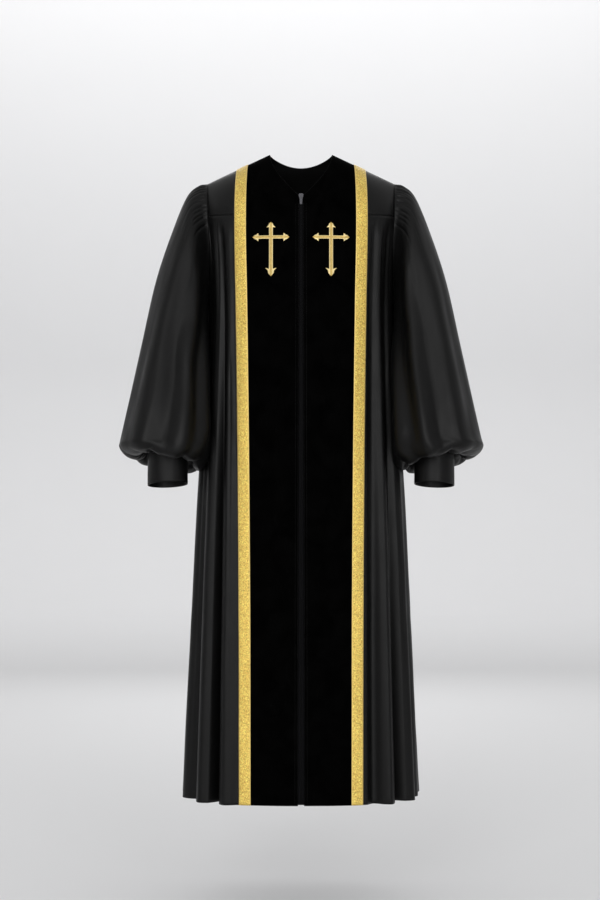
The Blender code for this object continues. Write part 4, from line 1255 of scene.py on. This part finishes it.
def peachskin():
    """Peachskin polyester, woven with a satin face: close to black, with a soft grey gloss along
    its ridges. The twill's threads lie 0.35 mm apart and are drawn at 1.1 mm, so that a close
    view shows them, and the warp's uneven threads as streaks 3 mm wide and 60 mm long."""
    look, shader, flat = new_look("peachskin satin-faced polyester")
    if shader is None:
        return look
    colour = bpy.context.scene.robe_cloth.cloth_colour
    drawn_out = add_node(look, "Mapping", {"Vector": flat, "Scale": (1.0, 0.05, 1.0)})
    streaks = add_node(
        look, "TexNoise", {"Vector": drawn_out.outputs[0], "Scale": 330.0, "Detail": 2.0}
    )
    cloud = add_node(
        look, "TexNoise", {"Vector": flat, "Scale": 16.0, "Detail": 3.0, "Roughness": 0.5}
    )
    streaked = add_node(
        look,
        "Mix",
        {SHARE: streaks.outputs["Fac"], FIRST: tone(colour, 0.72), SECOND: tone(colour, 1.3)},
        data_type="RGBA",
    )
    rough = add_node(
        look,
        "MapRange",
        {
            "Value": cloud.outputs["Fac"],
            "From Min": 0.3,
            "From Max": 0.7,
            "To Min": 0.40,
            "To Max": 0.50,
        },
    )
    twill = add_node(
        look,
        "TexWave",
        {"Vector": flat, "Scale": DIAGONAL_WAVE / 0.0011, "Distortion": 0.4},
        bands_direction="DIAGONAL",
    )
    fine = add_node(
        look, "Bump", {"Height": twill.outputs["Fac"], "Strength": 0.16, "Distance": 0.00012}
    )
    slub = add_node(
        look,
        "Bump",
        {
            "Height": streaks.outputs["Fac"],
            "Strength": 0.22,
            "Distance": 0.0003,
            "Normal": fine.outputs["Normal"],
        },
    )
    link(look, streaked.outputs[BLEND], shader, "Base Color")
    link(look, rough.outputs["Result"], shader, "Roughness")
    link(look, slub.outputs["Normal"], shader, "Normal")
    shader.inputs["Specular IOR Level"].default_value = 0.19
    return look


def velvet():
    """Cotton velvet with a cut pile 1 mm deep: the deepest black on the robe, because the pile
    swallows light. Faint lighter and darker patches 40 mm wide in its colour are a painted sheen of
    the pile. The tufts' grain is 0.6 mm and is drawn at 1.5 mm."""
    look, shader, flat = new_look("cut-pile velvet")
    if shader is None:
        return look
    colour = bpy.context.scene.robe_cloth.velvet_colour
    sheen_patches = add_node(
        look, "TexNoise", {"Vector": flat, "Scale": 22.0, "Detail": 3.0, "Distortion": 0.6}
    )
    tufts = add_node(look, "TexNoise", {"Vector": flat, "Scale": 700.0, "Detail": 2.0})
    painted_sheen_share = add_node(
        look, "MapRange", {"Value": sheen_patches.outputs["Fac"], "From Min": 0.35, "From Max": 0.68}
    )
    # Lighter and darker patches of the pile's colour: a painted sheen
    painted_sheen_pile = add_node(
        look,
        "Mix",
        {SHARE: painted_sheen_share.outputs["Result"], FIRST: tone(colour, 0.6), SECOND: tone(colour, 1.7)},
        data_type="RGBA",
    )
    pile = add_node(
        look, "Bump", {"Height": tufts.outputs["Fac"], "Strength": 0.35, "Distance": 0.0004}
    )
    link(look, painted_sheen_pile.outputs[BLEND], shader, "Base Color")
    link(look, pile.outputs["Normal"], shader, "Normal")
    shader.inputs["Roughness"].default_value = 0.95
    shader.inputs["Specular IOR Level"].default_value = 0.01
    return look


def brocade():
    """Metallic brocade ribbon, lamé wefts over a yellow ground. Its sparkle is painted: glints of
    0.5 mm, drawn at 1.4 mm, are cells darker and lighter than the gold, painted into its colour,
    which also roughen and facet it. Its wefts, 0.5 mm apart, are drawn at 0.9 mm. A mottled scroll
    is 6 mm wide, and a paler plain selvedge 1 mm wide runs along each side."""
    look, shader, flat = new_look("gold brocade ribbon")
    if shader is None:
        return look
    trim = bpy.context.scene.robe_trim
    gold = trim.brocade_colour
    glints = add_node(look, "TexVoronoi", {"Vector": flat, "Scale": 1 / 0.0014})
    scroll = add_node(
        look, "TexNoise", {"Vector": flat, "Scale": 340.0, "Detail": 3.0, "Distortion": 1.2}
    )
    weft = add_node(
        look, "TexWave", {"Vector": flat, "Scale": WAVE / 0.0009}, bands_direction="Y"
    )
    level = add_node(look, "SeparateColor", {"Color": glints.outputs["Color"]})
    # Cells darker and lighter than the gold: painted glints in the ribbon's colour
    ground = add_node(
        look,
        "Mix",
        {SHARE: level.outputs[0], FIRST: tone(gold, 0.42), SECOND: tone(gold, 1.5, 0.05)},
        data_type="RGBA",
    )
    figure = add_node(
        look,
        "MapRange",
        {"Value": scroll.outputs["Fac"], "From Min": 0.46, "From Max": 0.56, "To Max": 0.55},
    )
    figured = add_node(
        look,
        "Mix",
        {SHARE: figure.outputs["Result"], FIRST: ground.outputs[BLEND], SECOND: tone(gold, 0.76)},
        data_type="RGBA",
    )
    edged = add_node(
        look,
        "Mix",
        {
            SHARE: towards_edges(look, flat, 0.0108, 0.0112),
            FIRST: figured.outputs[BLEND],
            SECOND: tone(trim.selvedge_colour),
        },
        data_type="RGBA",
    )
    rough = add_node(look, "MapRange", {"Value": level.outputs[1], "To Min": 0.26, "To Max": 0.58})
    ribs = add_node(
        look, "Bump", {"Height": weft.outputs["Fac"], "Strength": 0.35, "Distance": 0.00025}
    )
    facets = add_node(
        look,
        "Bump",
        {
            "Height": level.outputs[2],
            "Strength": 0.5,
            "Distance": 0.0004,
            "Normal": ribs.outputs["Normal"],
        },
    )
    link(look, edged.outputs[BLEND], shader, "Base Color")
    link(look, rough.outputs["Result"], shader, "Roughness")
    link(look, facets.outputs["Normal"], shader, "Normal")
    shader.inputs["Metallic"].default_value = 0.55
    return look


def satin_stitch():
    """Metallic embroidery thread laid side by side in satin stitch: each thread 0.4 mm, drawn at
    0.8 mm, running across its arm. Its colour is mottled, darker along the arm's middle as painted
    shade and paler towards its edges as a painted highlight."""
    look, shader, flat = new_look("gold satin-stitch embroidery")
    if shader is None:
        return look
    gold = bpy.context.scene.robe_trim.embroidery_colour
    threads = add_node(
        look,
        "TexWave",
        {"Vector": flat, "Scale": WAVE / 0.0008, "Distortion": 0.6},
        bands_direction="Y",
    )
    uneven = add_node(look, "TexNoise", {"Vector": flat, "Scale": 240.0, "Detail": 3.0})
    # A random mottle, kept darker than the thread's colour as painted shade along the arm's middle
    shade = add_node(
        look,
        "Mix",
        {SHARE: uneven.outputs["Fac"], FIRST: tone(gold, 0.38), SECOND: tone(gold, 1.15)},
        data_type="RGBA",
    )
    # Paler towards the arm's edges: a painted highlight
    edged = add_node(
        look,
        "Mix",
        {
            SHARE: towards_edges(look, flat, 0.0014, 0.0030, 0.8),
            FIRST: shade.outputs[BLEND],
            SECOND: tone(srgb(EDGE_HIGHLIGHT_COLOUR)),
        },
        data_type="RGBA",
    )
    ridges = add_node(
        look, "Bump", {"Height": threads.outputs["Fac"], "Strength": 0.4, "Distance": 0.0003}
    )
    link(look, edged.outputs[BLEND], shader, "Base Color")
    link(look, ridges.outputs["Normal"], shader, "Normal")
    shader.inputs["Metallic"].default_value = 0.60
    shader.inputs["Roughness"].default_value = 0.36
    return look


def plain_look(name, colour, roughness, grain, metallic=0.0, specular=0.5, mottle=0.2):
    """A dyed or plated surface with a fine grain: noise of the given size in metres mottles its
    colour by the given share and roughens it. It reads the piece's own place, for pieces without
    cloth coordinates."""
    look = bpy.data.materials.get(name)
    if look:
        return look
    look = bpy.data.materials.new(name)
    look.use_nodes = True
    shader = look.node_tree.nodes["Principled BSDF"]
    place = add_node(look, "TexCoord").outputs["Object"]
    noise = add_node(look, "TexNoise", {"Vector": place, "Scale": 1 / grain, "Detail": 3.0})
    mottled = add_node(
        look,
        "Mix",
        {
            SHARE: noise.outputs["Fac"],
            FIRST: tone(colour, 1 - mottle),
            SECOND: tone(colour, 1 + mottle),
        },
        data_type="RGBA",
    )
    rough = add_node(
        look,
        "MapRange",
        {
            "Value": noise.outputs["Fac"],
            "From Min": 0.3,
            "From Max": 0.7,
            "To Min": roughness * 0.85,
            "To Max": roughness * 1.15,
        },
    )
    bumps = add_node(
        look,
        "Bump",
        {
            "Height": noise.outputs["Fac"],
            "Strength": mottle,
            "Distance": min(grain * 0.1, 0.001),
        },
    )
    link(look, mottled.outputs[BLEND], shader, "Base Color")
    link(look, rough.outputs["Result"], shader, "Roughness")
    link(look, bumps.outputs["Normal"], shader, "Normal")
    shader.inputs["Metallic"].default_value = metallic
    if not metallic:
        shader.inputs["Specular IOR Level"].default_value = specular
    return look


def studio_floor(stage):
    """A round floor 18 m across whose rim turns up in a quarter circle and rises, so that every
    view from near the robe ends in the same pale white. Its profile is turned about the robe's
    axis, and the turns' shared point in the middle is merged."""
    turn = np.radians(np.linspace(0, 90, 25))
    rim = FLAT_REACH + RIM_TURN * np.sin(turn)
    radius = np.concatenate([[0.0, 3.0, 6.0], rim, [FLAT_REACH + RIM_TURN]])
    height = np.concatenate([[0, 0, 0], RIM_TURN - RIM_TURN * np.cos(turn), [RIM_TOP]])
    around = np.radians(np.linspace(0, 360, 97)[:-1])
    points = np.stack(
        [
            radius[:, None] * np.cos(around),
            radius[:, None] * np.sin(around),
            stage.floor_z + height[:, None] + 0 * around,
        ],
        axis=-1,
    )
    index = np.arange(points[..., 0].size).reshape(points.shape[:2])
    beside = np.roll(index, -1, axis=1)
    faces = np.stack([index[:-1], beside[:-1], beside[1:], index[1:]], axis=-1)
    mesh = mesh_from("studio_floor", points.reshape(-1, 3), faces.reshape(-1, 4)[:, ::-1])
    joined = bmesh.new()
    joined.from_mesh(mesh)
    bmesh.ops.remove_doubles(joined, verts=joined.verts, dist=1e-6)
    joined.to_mesh(mesh)
    joined.free()
    paper = plain_look(
        "matt white studio paper", stage.floor_colour, 0.9, 0.35, specular=0.1, mottle=0.01
    )
    mesh.materials.append(paper)
    floor = bpy.data.objects.new("studio_floor", mesh)
    bpy.context.scene.collection.objects.link(floor)
    return floor


class RobeClothSettings(bpy.types.PropertyGroup):
    """Sizes and colours of the cloth and the velvet."""

    wall: FloatProperty(
        name="Cloth",
        description="Thickness of the robe cloth",
        default=0.0009,
        min=0.0002,
        unit="LENGTH",
    )
    velvet_wall: FloatProperty(
        name="Velvet",
        description="Thickness of the velvet with its backing",
        default=0.0014,
        min=0.0004,
        unit="LENGTH",
    )
    cuff_wall: FloatProperty(
        name="Cuff",
        description="Thickness of a cuff, which is two layers and fusible",
        default=0.0018,
        unit="LENGTH",
    )
    fold_depth: FloatProperty(
        name="Fold depth",
        description="Depth of the long folds against those of the solids",
        default=1.0,
        min=0.0,
        max=1.1,
        subtype="FACTOR",
    )
    cloth_colour: FloatVectorProperty(
        name="Cloth colour",
        description="Colour of the robe cloth",
        subtype="COLOR",
        default=srgb("#060606"),
    )
    velvet_colour: FloatVectorProperty(
        name="Velvet colour",
        description="Colour of the velvet's pile",
        subtype="COLOR",
        default=srgb("#020202"),
    )


class RobeTrimSettings(bpy.types.PropertyGroup):
    """Sizes and colours of the gold, the thread and the zip."""

    brocade_colour: FloatVectorProperty(
        name="Brocade",
        description="Colour of the gold bands",
        subtype="COLOR",
        default=srgb("#f6c05a"),
    )
    selvedge_colour: FloatVectorProperty(
        name="Selvedge",
        description="Colour of the bands' edges",
        subtype="COLOR",
        default=srgb("#e6c978"),
    )
    embroidery_colour: FloatVectorProperty(
        name="Embroidery",
        description="Colour of the crosses",
        subtype="COLOR",
        default=srgb("#d6b568"),
    )
    stitch: FloatProperty(
        name="Stitch",
        description="Length of a stitch from needle hole to needle hole",
        default=0.0030,
        unit="LENGTH",
    )
    thread: FloatProperty(
        name="Thread",
        description="Thickness of the sewing thread",
        default=0.00035,
        unit="LENGTH",
    )
    tooth_pitch: FloatProperty(
        name="Tooth pitch",
        description="Length of zip for each tooth on one side",
        default=0.0020,
        unit="LENGTH",
    )


class RobeStageSettings(bpy.types.PropertyGroup):
    """The floor and the lights round the robe."""

    floor_z: FloatProperty(
        name="Floor", description="Height of the floor", default=-1.57, unit="LENGTH"
    )
    floor_colour: FloatVectorProperty(
        name="Floor colour",
        description="Colour of the floor and its rim",
        subtype="COLOR",
        default=srgb("#e0e0e1"),
    )
    brightness: FloatProperty(
        name="Brightness",
        description="Power of the lights against their usual power",
        default=1.0,
        min=0.0,
    )


class ROBE_OT_back(bpy.types.Operator):
    """Make the fluted back and its yoke"""

    bl_idname = "robe.back"
    bl_label = "Back"

    def execute(self, context):
        wall = context.scene.robe_cloth.wall
        skirt = cloth_piece(
            "back_skirt", [back_grid()], wall, peachskin(), "back_panel"
        )
        yoke = cloth_piece(
            "back_shoulder_yoke", [back_yoke_grid()], wall, peachskin(), "back_yoke"
        )
        return {"FINISHED"}


class ROBE_OT_fronts(bpy.types.Operator):
    """Make the two fronts and their yokes"""

    bl_idname = "robe.fronts"
    bl_label = "Fronts"

    def execute(self, context):
        wall = context.scene.robe_cloth.wall
        for side in SIDES:
            panel = cloth_piece(
                "front_skirt_" + side,
                [worn(side, front_grid(side))],
                wall,
                peachskin(),
                "front_" + side,
            )
            yoke = cloth_piece(
                "shoulder_yoke_" + side,
                [worn(side, front_yoke_grid(side))],
                wall,
                peachskin(),
                "yoke_" + side,
            )
        return {"FINISHED"}


class ROBE_OT_velvets(bpy.types.Operator):
    """Make the velvet fronts with the gold bands on them"""

    bl_idname = "robe.velvets"
    bl_label = "Velvet fronts and bands"

    def execute(self, context):
        cloth = context.scene.robe_cloth
        for side in SIDES:
            velvet_points = velvet_front(side)
            front = cloth_piece(
                "velvet_front_" + side,
                [worn(side, velvet_points)],
                cloth.velvet_wall,
                velvet(),
                "velvet_" + side,
            )
            band = cloth_piece(
                "gold_band_" + side,
                [band_grid(side, velvet_points)],
                BROCADE * BROCADE_SHARE,
                brocade(),
                "band_" + side,
            )
        return {"FINISHED"}


class ROBE_OT_sleeves(bpy.types.Operator):
    """Make the bishop sleeves and their cuffs"""

    bl_idname = "robe.sleeves"
    bl_label = "Sleeves and cuffs"

    def execute(self, context):
        cloth = context.scene.robe_cloth
        for side in SIDES:
            sleeve = cloth_piece(
                "bishop_sleeve_" + side,
                [sleeve_grid(side)],
                cloth.wall,
                peachskin(),
                "sleeve_" + side,
                closed=True,
            )
            cuff = cloth_piece(
                "sleeve_cuff_" + side,
                [cuff_grid(side)],
                cloth.cuff_wall,
                peachskin(),
                "cuff_" + side,
                closed=True,
            )
        return {"FINISHED"}


class ROBE_OT_crosses(bpy.types.Operator):
    """Make the two embroidered crosses"""

    bl_idname = "robe.crosses"
    bl_label = "Crosses"

    def execute(self, context):
        for side in SIDES:
            cross = cloth_piece(
                "embroidered_cross_" + side,
                cross_grids(side),
                CROSS_WALL,
                satin_stitch(),
                "cross_" + side,
            )
        return {"FINISHED"}


class ROBE_OT_zip(bpy.types.Operator):
    """Make the zip's tape and teeth, and plate its slider and pull"""

    bl_idname = "robe.zip"
    bl_label = "Zip"

    def execute(self, context):
        tape_look = plain_look("woven zip tape", srgb("#08080a"), 0.85, 0.0008, specular=0.08)
        tape = cloth_piece(
            "woven_zip_tape", [tape_grid()], TAPE * TAPE_SHARE, tape_look, "zip_tape"
        )
        middle, turns = along_path(*zip_line(), context.scene.robe_trim.tooth_pitch / 2)
        sides = np.where(np.arange(len(middle)) % 2, 1, -1)[:, None]
        middle = middle + turns[:, 1] * sides * TOOTH_STAGGER
        tooth = bmesh.new()
        bmesh.ops.create_cone(
            tooth,
            cap_ends=True,
            segments=8,
            radius1=TOOTH_RADIUS,
            radius2=TOOTH_RADIUS,
            depth=TOOTH_WIDTH,
        )
        for vertex in tooth.verts:
            vertex.co = (vertex.co.x * TOOTH_FLATNESS, vertex.co.z, vertex.co.y)
        bmesh.ops.recalc_face_normals(tooth, faces=tooth.faces)
        tooth.verts.index_update()
        coil_look = plain_look("nylon coil teeth", srgb("#060607"), 0.6, 0.0006, specular=0.12)
        coil = repeated("zip_coil", tooth, (middle, turns), coil_look)
        plated = plain_look("nickel-plated zinc", srgb("#66666a"), 0.28, 0.0007, metallic=1.0)
        for name in ("zip_slider", "zip_pull"):
            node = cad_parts[name]
            node.data.materials.clear()
            node.data.materials.append(plated)
        return {"FINISHED"}


class ROBE_OT_stitching(bpy.types.Operator):
    """Sew the seams: black thread on the cloth and velvet, and gold along the bands"""

    bl_idname = "robe.stitching"
    bl_label = "Stitching"

    def execute(self, context):
        black = plain_look("black polyester thread", srgb("#0c0c0e"), 0.6, 0.0004)
        gold = plain_look("gold polyester thread", srgb("#e6c878"), 0.42, 0.0004)
        trim = context.scene.robe_trim
        for name, look, slot, lines in (
            ("black_stitching", black, "robe_cloth", black_lines()),
            ("gold_stitching", gold, "gold_brocade", gold_lines()),
        ):
            found = [along_path(points, outward, trim.stitch) for points, outward in lines]
            middle = np.concatenate([line[0] for line in found])
            turns = np.concatenate([line[1] for line in found])
            half_size = Vector((trim.stitch * STITCH_SHARE, trim.thread / 2, trim.thread / 2))
            stitch = bmesh.new()
            bmesh.ops.create_icosphere(stitch, subdivisions=1, radius=1.0)
            for vertex in stitch.verts:
                vertex.co = vertex.co * half_size
            stitch.verts.index_update()
            repeated(name, stitch, (middle, turns), look)
        return {"FINISHED"}


class ROBE_OT_stage(bpy.types.Operator):
    """Make the pale floor with its high rim, the lights and the camera"""

    bl_idname = "robe.stage"
    bl_label = "Stage"

    def execute(self, context):
        stage = context.scene.robe_stage
        studio_floor(stage)
        for name, place, aim, size, power in LIGHTS:
            lamp = bpy.data.lights.new(name, "AREA")
            lamp.shape = "RECTANGLE"
            lamp.size, lamp.size_y = size
            lamp.energy = power * stage.brightness
            light = bpy.data.objects.new(name, lamp)
            light.location = place
            light.rotation_mode = "QUATERNION"
            towards = Vector(aim) - Vector(place)
            light.rotation_quaternion = towards.to_track_quat("-Z", "Y")
            context.scene.collection.objects.link(light)
        world = bpy.data.worlds.new("studio air")
        world.use_nodes = True
        air = world.node_tree.nodes["Background"].inputs
        air["Color"].default_value = tone(srgb("#ffffff"))
        air["Strength"].default_value = WORLD_STRENGTH
        context.scene.world = world
        camera = bpy.data.cameras.new("camera")
        camera.sensor_fit = "VERTICAL"
        camera.sensor_height = SENSOR_HEIGHT
        camera.lens = LENS
        view = bpy.data.objects.new("camera", camera)
        view.location = CAMERA_PLACE
        view.rotation_euler = (np.pi / 2, 0, 0)
        context.scene.collection.objects.link(view)
        context.scene.camera = view
        context.scene.view_settings.view_transform = "Standard"
        return {"FINISHED"}


class ROBE_PT_panel(bpy.types.Panel):
    """The robe's sizes, colours and pieces"""

    bl_label = "Clergy robe"
    bl_idname = "ROBE_PT_panel"
    bl_space_type = "VIEW_3D"
    bl_region_type = "UI"
    bl_category = "Robe"

    def draw(self, context):
        for group in SETTINGS:
            settings = getattr(context.scene, group)
            column = self.layout.column()
            for name in settings.__annotations__:
                column.prop(settings, name)
        for operator in OPERATORS:
            self.layout.operator(operator.bl_idname)


OPERATORS = (
    ROBE_OT_back,
    ROBE_OT_fronts,
    ROBE_OT_velvets,
    ROBE_OT_sleeves,
    ROBE_OT_crosses,
    ROBE_OT_zip,
    ROBE_OT_stitching,
    ROBE_OT_stage,
)
SETTINGS = {
    "robe_cloth": RobeClothSettings,
    "robe_trim": RobeTrimSettings,
    "robe_stage": RobeStageSettings,
}


def register():
    """Registers the settings, the operators and the panel, and gives the scene its settings."""
    for made in (*SETTINGS.values(), *OPERATORS, ROBE_PT_panel):
        bpy.utils.register_class(made)
    for name, group in SETTINGS.items():
        setattr(bpy.types.Scene, name, PointerProperty(type=group))


def unregister():
    """Takes the settings off the scene and unregisters every class."""
    for name in SETTINGS:
        delattr(bpy.types.Scene, name)
    for made in (ROBE_PT_panel, *reversed(OPERATORS), *SETTINGS.values()):
        bpy.utils.unregister_class(made)


def main():
    """Makes every piece in order."""
    register()
    for operator in OPERATORS:
        group, name = operator.bl_idname.split(".")
        getattr(getattr(bpy.ops, group), name)()


if __name__ == "__main__":
    main()
